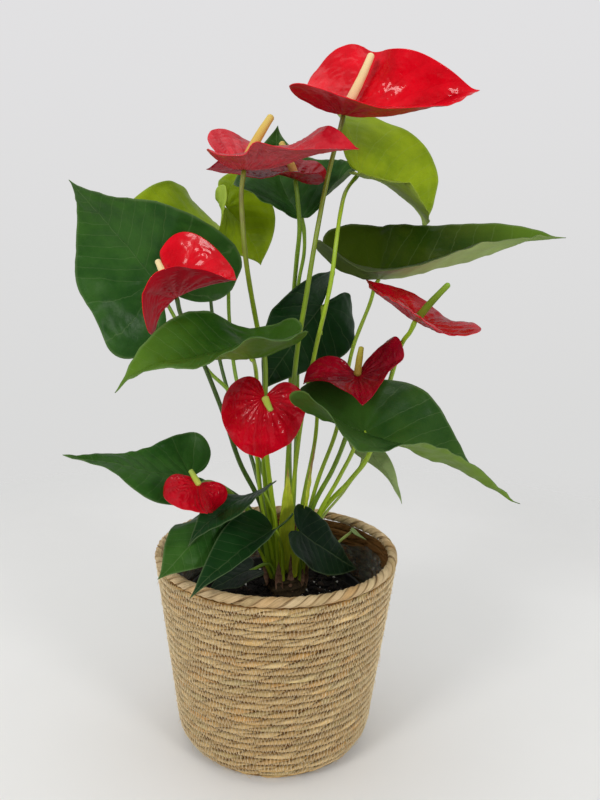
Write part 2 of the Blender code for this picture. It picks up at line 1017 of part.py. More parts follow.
def build_holder():
    """The basket with its braid, the liner, the nursery pot and the potting mix."""
    straw = material("seagrass", (0.52, 0.36, 0.18), 0.8)
    film = material("clear_film", (0.8, 0.82, 0.8), 0.15)
    black = material("black_plastic", (0.02, 0.02, 0.02), 0.5)
    mix = material("potting_mix", (0.03, 0.02, 0.015), 0.95)
    rounding = BASKET_FOOT_ROUNDING
    slope = (BASKET_RIM_RADIUS - BASKET_BASE_RADIUS) / WALL_TOP
    foot_radius = BASKET_BASE_RADIUS + slope * rounding
    inner_foot = BASKET_BASE_RADIUS - BASKET_WALL
    inner_top = BASKET_RIM_RADIUS - BASKET_WALL
    arc = [math.radians(angle) for angle in FOOT_ARC_DEGREES]
    bottom = [
        (foot_radius - rounding + rounding * math.sin(angle), rounding - rounding * math.cos(angle))
        for angle in arc
    ]
    outside = [(0, 0), *bottom, (foot_radius, rounding), (BASKET_RIM_RADIUS, WALL_TOP)]
    inside = [(inner_top, WALL_TOP), (inner_foot, BASKET_FLOOR), (0, BASKET_FLOOR)]
    turned("basket", outside + inside, straw)

    braid_middle = WALL_TOP + CLEARANCE + BRAID_RADIUS
    bpy.ops.mesh.primitive_torus_add(
        location=(0, 0, braid_middle),
        major_radius=BASKET_RIM_RADIUS - BASKET_WALL / 2,
        minor_radius=BRAID_RADIUS,
        major_segments=TURNED_SIDES,
        minor_segments=BRAID_SIDES,
    )
    braid = bpy.context.object
    braid.name = "rim_braid"
    braid.data.materials.append(straw)
    braid.data.shade_smooth()

    liner_floor = BASKET_FLOOR + CLEARANCE
    liner_top = WALL_TOP - LINER_BELOW_BRAID
    inner_slope = (inner_top - inner_foot) / (WALL_TOP - BASKET_FLOOR)
    liner_foot_radius = inner_foot - 2 * CLEARANCE
    liner_top_radius = liner_foot_radius + inner_slope * (liner_top - liner_floor)
    turned(
        "liner",
        [
            (0, liner_floor),
            (liner_foot_radius, liner_floor),
            (liner_top_radius, liner_top),
            (liner_top_radius - LINER_WALL, liner_top),
            (liner_foot_radius - LINER_WALL, liner_floor + LINER_WALL),
            (0, liner_floor + LINER_WALL),
        ],
        film,
    )

    lip_foot = POT_RIM - POT_LIP_DEPTH
    lip_inside = POT_RIM_RADIUS - POT_LIP_STEP - POT_WALL
    turned(
        "nursery_pot",
        [
            (0, POT_FLOOR),
            (POT_BASE_RADIUS, POT_FLOOR),
            (POT_RIM_RADIUS - POT_LIP_STEP, lip_foot),
            (POT_RIM_RADIUS, lip_foot),
            (POT_RIM_RADIUS, POT_RIM),
            (lip_inside, POT_RIM),
            (lip_inside, lip_foot),
            (POT_BASE_RADIUS - POT_WALL, POT_FLOOR + POT_WALL),
            (0, POT_FLOOR + POT_WALL),
        ],
        black,
    )

    mix_floor = POT_FLOOR + POT_WALL + CLEARANCE
    mix_top_radius = lip_inside - 2 * CLEARANCE
    mix_floor_radius = POT_BASE_RADIUS - POT_WALL - 2 * CLEARANCE
    turned(
        "potting_mix",
        [
            (0, mix_floor),
            (mix_floor_radius, mix_floor),
            (mix_top_radius, lip_foot),
            (mix_top_radius, MIX_EDGE),
            (mix_top_radius * MIX_MOUND_SHARE, MIX_TOP),
            (0, MIX_TOP),
        ],
        mix,
    )


def build_crown():
    """The short stem that every stalk grows out of."""
    bark = material("crown_bark", (0.25, 0.16, 0.07), 0.85)
    profile = [
        (0, CROWN_FOOT),
        (CROWN_RADIUS, CROWN_FOOT),
        (CROWN_RADIUS, CROWN_FOOT + CROWN_HEIGHT * CROWN_SHOULDER_SHARE),
        (CROWN_RADIUS * CROWN_TOP_SHARE, CROWN_TOP),
        (0, CROWN_TOP),
    ]
    crown = turned("crown", profile, bark, sides=CROWN_SIDES)
    crown.location = (*CROWN_PLACE, 0)


def build_flowers():
    """Spathes, spadices and peduncles."""
    red = material("spathe_red", (0.62, 0.01, 0.02), 0.2)
    cream = material("spadix_cream", (0.85, 0.65, 0.3), 0.5)
    green = material("stalk_green", (0.2, 0.35, 0.05), 0.4)
    for place, flower in FLOWERS.items():
        name = "flower_" + place
        blade_object(name + "_spathe", flower.spathe, SPATHE_OUTLINE, SPATHE_KEEL, SPATHE_THICKNESS, red)
        spadix_object(name + "_spadix", flower, cream)
        start = crown_point(flower.root, PEDUNCLE_RADIUS)
        end = below_foot(flower.spathe, SPATHE_THICKNESS, PEDUNCLE_RADIUS)
        stalk_object(name + "_peduncle", start, flower.route, end, PEDUNCLE_RADIUS, green)


def build_leaves():
    """Leaf blades and petioles. A small leaf is one solid with its petiole."""
    dark = material("leaf_green", (0.03, 0.12, 0.03), 0.3)
    green = material("petiole_green", (0.2, 0.35, 0.05), 0.4)
    for place, leaf in LEAVES.items():
        name = "leaf_" + place
        if leaf.small:
            thing = blade_object(
                name, leaf.blade, LEAF_OUTLINE, LEAF_KEEL, LEAF_THICKNESS, dark, SMALL_BLADE_RINGS
            )
            start = crown_point(leaf.root, SMALL_PETIOLE_RADIUS)
            end = np.array(leaf.blade.foot, float) * MM + (0, 0, MIX_TOP)
            join_petiole(thing, name, start, leaf.route, end, green)
            continue
        blade_object(name + "_blade", leaf.blade, LEAF_OUTLINE, LEAF_KEEL, LEAF_THICKNESS, dark)
        start = crown_point(leaf.root, PETIOLE_RADIUS)
        end = below_foot(leaf.blade, LEAF_THICKNESS, PETIOLE_RADIUS)
        stalk_object(name + "_petiole", start, leaf.route, end, PETIOLE_RADIUS, green)


def build_small_growth():
    """The sheaths beside the stalks and the seedling at the pot's edge."""
    pale = material("sheath", (0.45, 0.5, 0.1), 0.5)
    for place, blade in SHEATHS.items():
        blade_object(
            "sheath_" + place,
            blade,
            LEAF_OUTLINE,
            LEAF_KEEL,
            LEAF_THICKNESS,
            pale,
            SMALL_BLADE_RINGS,
            level=CROWN_TOP,
        )
    thing = blade_object(
        "sprout", SPROUT.blade, LEAF_OUTLINE, LEAF_KEEL, LEAF_THICKNESS, pale, SMALL_BLADE_RINGS
    )
    start = np.array([*SPROUT.root, 0]) * MM + (0, 0, MIX_TOP + CLEARANCE + SMALL_PETIOLE_RADIUS)
    end = np.array(SPROUT.blade.foot, float) * MM + (0, 0, MIX_TOP)
    join_petiole(thing, "sprout", start, SPROUT.route, end, pale)


def main():
    """Clears the scene and builds every piece."""
    for thing in list(bpy.data.objects):
        bpy.data.objects.remove(thing)
    build_holder()
    build_crown()
    build_flowers()
    build_leaves()
    build_small_growth()


main()
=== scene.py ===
"""The looks of a red anthurium in a nursery pot, standing in a coiled seagrass basket.

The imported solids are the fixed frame. Every piece here is built around them in metres, rides on
their one body and stands in for the solid that it names. Blades and stalks repeat the design's
own millimetres, counted from the middle of the potting mix's surface, and the sheaths' from the
top of the crown, so they land where the frame has them.
"""

import sys

import logging
import math
from dataclasses import dataclass, field
from enum import Enum
from itertools import combinations
from typing import Union

import bpy
import numpy as np
from bpy.types import Material
from bpy.types import NodeSocket as Socket
from bpy.types import NodeTree as Tree
from mathutils import Matrix, Quaternion, Vector


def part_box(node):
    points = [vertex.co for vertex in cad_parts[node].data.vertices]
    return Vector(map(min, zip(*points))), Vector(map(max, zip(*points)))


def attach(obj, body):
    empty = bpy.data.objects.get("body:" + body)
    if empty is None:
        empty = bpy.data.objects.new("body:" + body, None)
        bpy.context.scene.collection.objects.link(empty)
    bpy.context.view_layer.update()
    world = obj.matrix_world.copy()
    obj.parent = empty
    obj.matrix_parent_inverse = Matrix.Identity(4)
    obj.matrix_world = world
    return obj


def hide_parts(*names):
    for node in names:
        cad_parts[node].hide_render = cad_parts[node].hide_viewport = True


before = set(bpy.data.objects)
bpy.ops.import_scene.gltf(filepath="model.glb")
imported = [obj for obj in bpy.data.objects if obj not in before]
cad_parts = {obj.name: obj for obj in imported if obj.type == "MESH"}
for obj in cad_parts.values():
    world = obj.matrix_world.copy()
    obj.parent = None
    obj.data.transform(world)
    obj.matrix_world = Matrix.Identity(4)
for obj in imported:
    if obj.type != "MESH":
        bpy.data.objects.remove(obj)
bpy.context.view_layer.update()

MM = 0.001
TAU = 2 * math.pi
TINY = 1e-9
LOG = logging.getLogger("anthurium")

Array = np.ndarray
Point = tuple[float, float, float]
Pair = tuple[float, float]
Colour = tuple[float, float, float]
Value = Union[float, tuple, Socket]
Draw = np.random.Generator


# --- numbers and curves


def unit(vector: Array) -> Array:
    """The vector at length one."""
    return vector / np.linalg.norm(vector)


def unit_rows(rows: Array) -> Array:
    """Vectors at length one, one a row."""
    return rows / np.maximum(np.linalg.norm(rows, axis=1, keepdims=True), TINY)


def circle(count: int) -> Array:
    """Even angles round a full turn."""
    return np.arange(count) * TAU / count


def polar(reach: Array, angle: Array, height: Array) -> Array:
    """Points from distances to the Z axis, angles and heights."""
    return np.stack(np.broadcast_arrays(reach * np.cos(angle), reach * np.sin(angle), height), axis=-1)


def outline_of(node: str) -> tuple[Array, Array]:
    """The distances from the Z axis and the heights of a solid's points."""
    points = np.array([vertex.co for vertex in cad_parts[node].data.vertices])
    return np.hypot(points[:, 0], points[:, 1]), points[:, 2]


def ease(value: Array, low: float, high: float) -> Array:
    """A smooth step from 0 at low to 1 at high."""
    part = np.clip((np.asarray(value, float) - low) / (high - low), 0, 1)
    return part * part * (3 - 2 * part)


def smooth_curve(points: Array, count: int) -> Array:
    """Evenly numbered points on a Catmull-Rom curve.

    Args:
        points: what the curve passes through.
        count: how many points to return.

    Returns:
        The points, one a row.
    """
    ends = np.vstack([2 * points[0] - points[1], points, 2 * points[-1] - points[-2]])
    place = np.linspace(0, len(points) - 1, count)
    step = np.minimum(place.astype(int), len(points) - 2)
    part = (place - step)[:, None]
    before, start, stop, after = (ends[step + shift] for shift in range(4))
    linear = (stop - before) * part
    square = (2 * before - 5 * start + 4 * stop - after) * part**2
    cube = (3 * start - before - 3 * stop + after) * part**3
    return 0.5 * (2 * start + linear + square + cube)


def run_along(line: Array) -> Array:
    """How far each point lies along its line."""
    return np.r_[0, np.cumsum(np.linalg.norm(np.diff(line, axis=0), axis=1))]


def spread_by(run: Array, line: Array, count: int) -> Array:
    """Points of a line at even steps of its run.

    Args:
        run: how far along each of its points lies.
        line: its points, one a row.
        count: how many points to return.

    Returns:
        The points, one a row.
    """
    wanted = np.linspace(0, run[-1], count)
    return np.stack([np.interp(wanted, run, column) for column in line.T], axis=1)


class Ripple:
    """A smooth random height over a plane, from a few waves in random directions."""

    def __init__(self, draw: Draw, wavelength: float, waves: int = 7) -> None:
        """Draws the waves.

        Args:
            draw: the random generator.
            wavelength: the middle wavelength, in the plane's own units.
            waves: how many waves are added up.
        """
        heading = draw.uniform(0, TAU, waves)
        turns = TAU / (wavelength * draw.uniform(0.6, 1.6, waves))
        self.steps = np.stack([np.cos(heading) * turns, np.sin(heading) * turns], axis=1)
        self.phase = draw.uniform(0, TAU, waves)
        self.share = 1 / math.sqrt(waves)

    def at(self, first: Array, second: Array) -> Array:
        """Heights at these places, mostly between -1 and 1."""
        turn = np.multiply.outer(first, self.steps[:, 0]) + np.multiply.outer(second, self.steps[:, 1])
        return np.sin(turn + self.phase).sum(axis=-1) * self.share

    def round(self, angle: Array, shift: float = 0.0) -> Array:
        """Heights round a circle of radius one, moved along its second axis."""
        return self.at(np.cos(angle), np.sin(angle) + shift)


# --- meshes


def grid_faces(rows: int, columns: int, closed_rows: bool = False, closed_columns: bool = False) -> Array:
    """Quads of a grid of points numbered row by row.

    Args:
        rows: how many rows there are.
        columns: how many points a row has.
        closed_rows: whether the last row joins the first.
        closed_columns: whether each row's last point joins its first.

    Returns:
        Four corner numbers a row.
    """
    row = np.arange(rows if closed_rows else rows - 1)[:, None]
    column = np.arange(columns if closed_columns else columns - 1)
    here, there = row * columns, (row + 1) % rows * columns
    after = (column + 1) % columns
    return np.stack([here + column, here + after, there + after, there + column], axis=2).reshape(-1, 4)


def cap_faces(first: int, sides: int, centre: int, flip: bool) -> Array:
    """Triangles from one ring of points to a centre point.

    Args:
        first: the ring's first number.
        sides: how many points it has.
        centre: the centre's number.
        flip: whether to turn the faces over.

    Returns:
        Three corner numbers a row.
    """
    here = first + np.arange(sides)
    order = [here, np.roll(here, -1)]
    return np.stack([*order[:: -1 if flip else 1], np.full(sides, centre)], axis=1)


def closed_faces(rows: int, sides: int) -> list[Array]:
    """Faces of rings of points, closed at both ends by the two points that follow them.

    Args:
        rows: how many rings there are.
        sides: how many points each ring has.

    Returns:
        The faces, as arrays of the points' numbers.
    """
    count = rows * sides
    ends = [cap_faces(0, sides, count, True), cap_faces(count - sides, sides, count + 1, False)]
    return [grid_faces(rows, sides, closed_columns=True), *ends]


def round_line(side: Array, up: Array, sides: int) -> Array:
    """Directions all round a line, for each of its points and sides."""
    angle = circle(sides)[None, :, None]
    return side[:, None, :] * np.cos(angle) + up[:, None, :] * np.sin(angle)


def frames_along(line: Array) -> tuple[Array, Array, Array]:
    """Directions along a line that don't spin about it.

    Args:
        line: its points, one a row.

    Returns:
        The forward, side and up unit vectors at each point.
    """
    forward = unit_rows(np.gradient(line, axis=0))
    last = np.array([1.0, 0, 0]) if abs(forward[0][0]) < 0.8 else np.array([0, 1.0, 0])
    side = np.empty_like(forward)
    for place, ahead in enumerate(forward):
        last = unit(last - ahead * (last @ ahead))
        side[place] = last
    return forward, side, np.cross(forward, side)


def per_ring(values: Array, sides: int) -> Array:
    """A value for each point of a tube, from one for each ring."""
    return np.r_[np.repeat(values, sides), values[0], values[-1]]


class Draft:
    """Gathers points, faces and per-point values that become one piece."""

    def __init__(self) -> None:
        """Starts with nothing in it."""
        self.points, self.faces, self.slots, self.values = [], [], [], []
        self.count = 0

    def add(self, points: Array, faces: list[Array], slots: int | list[int] = 0, **values: Array) -> None:
        """Adds one patch.

        Args:
            points: its points in metres, one a row.
            faces: arrays of corner numbers, each with three or four corners a row.
            slots: the slot of each array, or one for all.
            **values: per-point numbers, or one for all, by attribute.
        """
        for group, slot in zip(faces, np.broadcast_to(slots, len(faces))):
            self.faces += (group + self.count).tolist()
            self.slots.append(np.full(len(group), slot))
        self.points.append(points)
        self.values.append({name: np.broadcast_to(value, len(points)) for name, value in values.items()})
        self.count += len(points)

    def add_ring(self, points: Array, flip: bool = False, **values: Array) -> None:
        """Adds a tube that runs back into its own start.

        Args:
            points: its points, by step and side.
            flip: whether to turn the faces over.
            **values: as for a patch.
        """
        faces = grid_faces(*points.shape[:2], closed_rows=True, closed_columns=True)
        self.add(points.reshape(-1, 3), [faces[:, ::-1] if flip else faces], **values)

    def add_strand(self, points: Array, *values: Value) -> None:
        """Adds a ring of seagrass.

        Args:
            points: as for a ring.
            *values: what strand, along, around, groove and stitch are, over its steps and sides.
        """
        spread = (np.broadcast_to(value, points.shape[:2]).ravel() for value in values)
        self.add_ring(points, **dict(zip(("strand", "along", "around", "groove", "stitch"), spread)))

    def add_turned(self, rings: Array, centre: Pair, slot: int = 0) -> None:
        """Adds rings of points round an upright axis, closed by a point on it at both ends."""
        ends = [(*centre, ring[0, 2]) for ring in rings[[0, -1]]]
        self.add(np.vstack([rings.reshape(-1, 3), ends]), closed_faces(*rings.shape[:2]), slot)

    def add_tube(
        self, line: Array, radii: Array, sides: int, lumps: Array | float = 0, slot: int = 0, **values: Array
    ) -> None:
        """Adds a round tube with domed ends.

        Args:
            line: the middle line in metres, one point a row.
            radii: the radius at each point.
            sides: how many sides the tube has.
            lumps: a share added to the radius, for each point and side.
            slot: its material slot.
            **values: as for a patch, ring after ring and then the two end points.
        """
        forward, side, up = frames_along(line)
        reach = radii[:, None] * (1 + lumps) * np.ones(sides)
        rings = line[:, None, :] + round_line(side, up, sides) * reach[:, :, None]
        dome = 0.6
        tips = np.stack([line[0] - forward[0] * radii[0] * dome, line[-1] + forward[-1] * radii[-1] * dome])
        self.add(np.vstack([rings.reshape(-1, 3), tips]), closed_faces(len(line), sides), slot, **values)

    def piece(self, name: str, finishes: list[Material], slot: str, *nodes: str) -> None:
        """Makes the object, rides it on the body and says what it stands for.

        Args:
            name: its name.
            finishes: its materials, in the order of the slots.
            slot: the record's material slot. It is not used.
            *nodes: the solids that it replaces.
        """
        mesh = bpy.data.meshes.new(name)
        mesh.from_pydata(np.vstack(self.points).tolist(), [], self.faces)
        for finish in finishes:
            mesh.materials.append(finish)
        mesh.polygons.foreach_set("material_index", np.concatenate(self.slots).astype(np.int32))
        for label in sorted({label for patch in self.values for label in patch}):
            patches = zip(self.values, self.points)
            column = [patch.get(label, np.zeros(len(points))) for patch, points in patches]
            attribute = mesh.attributes.new(label, "FLOAT", "POINT")
            attribute.data.foreach_set("value", np.concatenate(column).astype(np.float32))
        mesh.shade_smooth()
        mesh.update()
        piece = link_up(name, mesh)
        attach(piece, "root")
        if nodes:
            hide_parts(*nodes)
        LOG.info("%s: %d faces, stands for %s", name, len(mesh.polygons), ", ".join(nodes) or "itself")


def link_up(name: str, data: bpy.types.ID) -> bpy.types.Object:
    """A new object in the scene with this mesh, camera or lamp.

    Args:
        name: what to call it.
        data: the mesh, camera or lamp.

    Returns:
        The object.
    """
    thing = bpy.data.objects.new(name, data)
    bpy.context.scene.collection.objects.link(thing)
    return thing


# --- node boards and shared effects


class Board:
    """Adds and joins nodes in one node tree."""

    def __init__(self, tree: Tree) -> None:
        """Keeps the tree that the nodes go into."""
        self.tree = tree

    def node(self, kind: str, **settings: object) -> bpy.types.Node:
        """Adds a node.

        Args:
            kind: the node's type name after ShaderNode.
            **settings: its properties.

        Returns:
            The node.
        """
        made = self.tree.nodes.new("ShaderNode" + kind)
        for name, value in settings.items():
            setattr(made, name, value)
        return made

    def feed(self, socket: Socket, value: Value) -> None:
        """Links or sets a socket.

        Args:
            socket: the input.
            value: another socket, a number, or three or four numbers.
        """
        if isinstance(value, Socket):
            self.tree.links.new(value, socket)
        elif socket.type == "RGBA":
            socket.default_value = (*value, 1)
        else:
            socket.default_value = value

    def wire(self, kind: str, inputs: dict[str | int, Value], **settings: object) -> Socket:
        """Adds a node and feeds it.

        Args:
            kind: the node's type name after ShaderNode.
            inputs: what each named or numbered input is given.
            **settings: its properties.

        Returns:
            The node's first output.
        """
        made = self.node(kind, **settings)
        for name, value in inputs.items():
            self.feed(made.inputs[name], value)
        return made.outputs[0]

    def calc(self, operation: str, *values: Value) -> Socket:
        """The output of a Math node with these inputs."""
        return self.wire("Math", dict(enumerate(values)), operation=operation)

    def times(self, value: Value, factor: Value) -> Socket:
        """A product."""
        return self.calc("MULTIPLY", value, factor)

    def scaled(self, value: Value, factor: Value, more: Value) -> Socket:
        """A product with something added."""
        return self.calc("MULTIPLY_ADD", value, factor, more)

    def blend(self, share: Value, first: Value, second: Value) -> Socket:
        """A colour between two, by the share of the second.

        Args:
            share: how much of the second there is.
            first: the colour where the share is nought.
            second: the colour where it is one.

        Returns:
            The blended colour.
        """
        mix = self.node("Mix", data_type="RGBA")
        for number, value in ((0, share), (6, first), (7, second)):
            self.feed(mix.inputs[number], value)
        return mix.outputs[2]

    def tint(self, tone: Value, colour: Value, share: Value, amount: Value) -> Socket:
        """A tone with another colour over it, by a share times an amount."""
        return self.blend(self.times(share, amount), tone, colour)

    def span(self, value: Value, low: Value, high: Value, start: Value = 0.0, end: Value = 1.0) -> Socket:
        """A smooth map of a value.

        Args:
            value: what is mapped.
            low: where its range starts.
            high: where it ends.
            start: the result at low.
            end: the result at high.

        Returns:
            The mapped value.
        """
        inputs = {"Value": value, "From Min": low, "From Max": high, "To Min": start, "To Max": end}
        return self.wire("MapRange", inputs, interpolation_type="SMOOTHSTEP")

    def noise(self, place: Value, scale: Value, detail: float, rough: float = 0.55) -> Socket:
        """A noise value.

        Args:
            place: the coordinate that it is read at.
            scale: how fine it is.
            detail: how many octaves it has.
            rough: how strong the fine octaves are.

        Returns:
            Its factor.
        """
        return self.wire("TexNoise", {"Vector": place, "Scale": scale, "Detail": detail, "Roughness": rough})

    def values_of(self, *names: str) -> list[Socket]:
        """Per-point numbers that the mesh carries."""
        return [self.node("Attribute", attribute_name=name).outputs["Fac"] for name in names]

    def place_of(self, *parts: Value) -> Socket:
        """A coordinate made of two or three numbers."""
        return self.wire("CombineXYZ", dict(enumerate(parts)))

    def body_place(self) -> Socket:
        """The object's own coordinate, in metres."""
        return self.node("TexCoord").outputs["Object"]


class Finish(Board):
    """A material, its shader and its nodes. Inputs are named with underscores for spaces."""

    def __init__(self, name: str, **fixed: Value) -> None:
        """Makes the material.

        Args:
            name: its name.
            **fixed: inputs of the shader that are the same all over.
        """
        self.material = bpy.data.materials.new(name)
        self.material.use_nodes = True
        super().__init__(self.material.node_tree)
        self.shader = self.tree.nodes["Principled BSDF"]
        self.set(**fixed)

    def set(self, **values: Value) -> None:
        """Sets or links inputs of the shader."""
        for name, value in values.items():
            self.feed(self.shader.inputs[name.replace("_", " ")], value)

    def group(self, tree: Tree, **values: Value) -> bpy.types.NodeOutputs:
        """Places a shared effect.

        Args:
            tree: the effect's node group.
            **values: its inputs.

        Returns:
            Its outputs.
        """
        made = self.node("Group", node_tree=tree)
        for name, value in values.items():
            self.feed(made.inputs[name.replace("_", " ")], value)
        return made.outputs

    def dress(self, tone: Value, rough: Value, relief: Value, depth: float, strength: float) -> Material:
        """Feeds the shader's colour, roughness and bumped normal.

        Args:
            tone: the colour.
            rough: the roughness.
            relief: the height, from 0 to 1.
            depth: how many metres high 1 is.
            strength: how much of the relief is used.

        Returns:
            The finished material.
        """
        normal = self.wire("Bump", {"Strength": strength, "Distance": depth, "Height": relief})
        self.set(Base_Color=tone, Roughness=rough, Normal=normal)
        return self.material


class Effect(Board):
    """A shared effect: a node group with named inputs and outputs."""

    def __init__(self, name: str, inputs: dict[str, float], *outputs: str) -> None:
        """Starts the group.

        Args:
            name: the group's name.
            inputs: each input's name and the value that it starts with.
            *outputs: the outputs' names.
        """
        super().__init__(bpy.data.node_groups.new(name, "ShaderNodeTree"))
        sockets = [(label, "INPUT") for label in inputs] + [(label, "OUTPUT") for label in outputs]
        for label, way in sockets:
            socket = self.tree.interface.new_socket(label, in_out=way, socket_type="NodeSocketFloat")
            if way == "INPUT":
                socket.default_value = inputs[label]
        self.given = self.tree.nodes.new("NodeGroupInput").outputs
        self.result = self.tree.nodes.new("NodeGroupOutput").inputs

    def put(self, **values: Value) -> Tree:
        """Feeds the group's outputs and returns the finished group.

        Args:
            **values: what feeds each output.

        Returns:
            The finished group.
        """
        for name, value in values.items():
            self.feed(self.result[name], value)
        return self.tree


class Effects:
    """The shared effects, each built once."""

    def __init__(self) -> None:
        """Builds every node group."""
        self.veins = self.make_veins()
        self.mottle = self.make_mottle()
        self.fibre = self.make_fibre()
        self.pores = self.make_pores()

    def make_veins(self) -> Tree:
        """Lines of a blade's veins, from its flat coordinates.

        Returns:
            A group with the strong veins, the fine net and the relief of both.
        """
        inputs = {"Across": 0, "Along": 0, "Lateral": 0, "Thickness": 0.04, "Net Size": 4, "Midrib": 0.8}
        effect = Effect("blade_veins", inputs, "Vein", "Net", "Relief")
        given = effect.given
        place = effect.place_of(given["Across"], given["Along"])
        wobble = effect.calc("SUBTRACT", effect.noise(place, 0.09, 2), 0.5)
        near = effect.calc("PINGPONG", effect.scaled(wobble, 0.35, given["Lateral"]), 0.5)
        side = effect.span(near, 0.0, given["Thickness"], 1, 0)
        middle = effect.span(effect.calc("ABSOLUTE", given["Across"]), 0.0, given["Midrib"], 1, 0)
        vein = effect.calc("MAXIMUM", effect.times(side, 0.75), middle)
        fineness = effect.calc("DIVIDE", 1.0, given["Net Size"])
        cells = {"Vector": place, "Scale": fineness}
        net = effect.span(effect.wire("TexVoronoi", cells, feature="DISTANCE_TO_EDGE"), 0.0, 0.11, 1, 0)
        relief = effect.scaled(net, -0.25, effect.times(vein, -0.7))
        return effect.put(Vein=vein, Net=net, Relief=effect.calc("ADD", relief, 1.0))

    def make_mottle(self) -> Tree:
        """Cloudy change of tone, with a finer grain in it.

        Returns:
            A group with two values around one half.
        """
        inputs = {"Across": 0, "Along": 0, "Seed": 0, "Cloud": 0.03, "Grain": 0.6}
        effect = Effect("mottle", inputs, "Cloud", "Grain")
        given = effect.given
        place = effect.place_of(given["Across"], given["Along"], effect.times(given["Seed"], 37))
        cloud = effect.noise(place, given["Cloud"], 3)
        grain = effect.noise(place, given["Grain"], 4, 0.65)
        return effect.put(Cloud=effect.span(cloud, 0.3, 0.7), Grain=effect.span(grain, 0.25, 0.75))

    def make_fibre(self) -> Tree:
        """Lengthwise streaks of a dry leaf strand or a stalk.

        Returns:
            A group with the streaks and a slower change of tone along the strand.
        """
        effect = Effect("fibre", {"Along": 0, "Around": 0, "Seed": 0, "Fineness": 9}, "Streak", "Slow")
        given = effect.given
        seed = effect.times(given["Seed"], 91)
        thin = effect.times(given["Around"], given["Fineness"])
        streak = effect.noise(effect.place_of(effect.times(given["Along"], 0.05), thin, seed), 1.6, 4, 0.7)
        place = effect.place_of(effect.times(given["Along"], 0.06), given["Around"], seed)
        slow = effect.span(effect.noise(place, 1.3, 2), 0.32, 0.68)
        return effect.put(Streak=effect.span(streak, 0.3, 0.7), Slow=slow)

    def make_pores(self) -> Tree:
        """Small pits and grains of a rough surface.

        Returns:
            A group with coarse grains, fine grains and their relief.
        """
        effect = Effect("pores", {"Coarse": 400, "Fine": 1800}, "Coarse", "Fine", "Relief")
        place = effect.body_place()
        coarse = effect.noise(place, effect.given["Coarse"], 4, 0.6)
        fine = effect.noise(place, effect.given["Fine"], 3, 0.7)
        relief = effect.scaled(fine, 0.35, effect.times(coarse, 0.65))
        coarse, fine = (effect.span(noise, 0.3, 0.7) for noise in (coarse, fine))
        return effect.put(Coarse=coarse, Fine=fine, Relief=relief)


# --- finishes


class LeafTone(Enum):
    """A leaf's deep and light upper tone, its underside, how much painted backlight lightens its tip and how
    green its lobes.
    """

    # DEEP and SHADED are darkened copies of the leaf greens, for leaves low and deep in the plant: painted
    # shade
    DEEP = ((0.003, 0.022, 0.004), (0.01, 0.045, 0.009), (0.055, 0.12, 0.02), 0.0, 0.5)
    SHADED = ((0.001, 0.008, 0.003), (0.004, 0.021, 0.006), (0.03, 0.07, 0.012), 0.0, 0.5)
    DARK = ((0.012, 0.058, 0.008), (0.034, 0.108, 0.015), (0.1, 0.18, 0.04), 0.12, 0.0)
    MID = ((0.012, 0.056, 0.004), (0.036, 0.104, 0.008), (0.13, 0.22, 0.03), 0.75, 0.75)
    OLIVE = ((0.01, 0.034, 0.002), (0.036, 0.062, 0.003), (0.36, 0.48, 0.15), 0.85, 0.9)
    BROAD = ((0.01, 0.048, 0.007), (0.034, 0.092, 0.012), (0.17, 0.28, 0.04), 0.35, 0.95)
    FRESH = ((0.16, 0.25, 0.002), (0.29, 0.4, 0.007), (0.36, 0.5, 0.06), 0.0, 0.0)
    PALE = ((0.13, 0.2, 0.06), (0.24, 0.32, 0.12), (0.3, 0.37, 0.2), 0.0, 0.0)


class SpatheTone(Enum):
    """A spathe's deep and light upper tone, and its underside."""

    BRIGHT = ((0.5, 0.0, 0.006), (0.72, 0.001, 0.012), (0.5, 0.006, 0.02))
    RICH = ((0.34, 0.0, 0.006), (0.52, 0.001, 0.012), (0.46, 0.006, 0.018))
    DARK = ((0.14, 0.0, 0.006), (0.3, 0.001, 0.012), (0.3, 0.004, 0.012))
    PINKISH = ((0.44, 0.003, 0.014), (0.62, 0.022, 0.036), (0.6, 0.04, 0.055))


class SpadixTone(Enum):
    """A spadix's colour at its foot, in its middle and at its tip."""

    CREAM = ((0.78, 0.42, 0.27), (0.8, 0.6, 0.3), (0.82, 0.68, 0.36))
    YELLOW = ((0.62, 0.26, 0.09), (0.66, 0.44, 0.08), (0.66, 0.5, 0.12))
    OLIVE = ((0.34, 0.2, 0.03), (0.34, 0.25, 0.02), (0.4, 0.36, 0.04))
    GREEN = ((0.22, 0.26, 0.02), (0.14, 0.25, 0.012), (0.2, 0.34, 0.02))
    LIME = ((0.5, 0.5, 0.08), (0.4, 0.48, 0.05), (0.34, 0.46, 0.07))


class StalkTone(Enum):
    """A stalk's colour at the crown, in its middle and under its blade."""

    GREEN = ((0.27, 0.41, 0.02), (0.17, 0.3, 0.012), (0.14, 0.25, 0.012))
    BRIGHT = ((0.4, 0.54, 0.02), (0.3, 0.45, 0.015), (0.24, 0.38, 0.015))
    DARK = ((0.1, 0.19, 0.015), (0.045, 0.1, 0.008), (0.05, 0.1, 0.01))
    RUDDY = ((0.29, 0.43, 0.01), (0.17, 0.28, 0.006), (0.13, 0.09, 0.012))
    PALE = ((0.4, 0.5, 0.08), (0.32, 0.42, 0.08), (0.34, 0.42, 0.12))


def shaded(colour: Colour, factor: float, more: float = 0.0) -> Colour:
    """A colour times a factor, with something added."""
    return tuple(min(1.0, factor * value + more) for value in colour)


def mixed(first: Colour, second: Colour, share: float) -> Colour:
    """A colour between two, by the share of the second."""
    return tuple((1 - share) * low + share * high for low, high in zip(first, second))


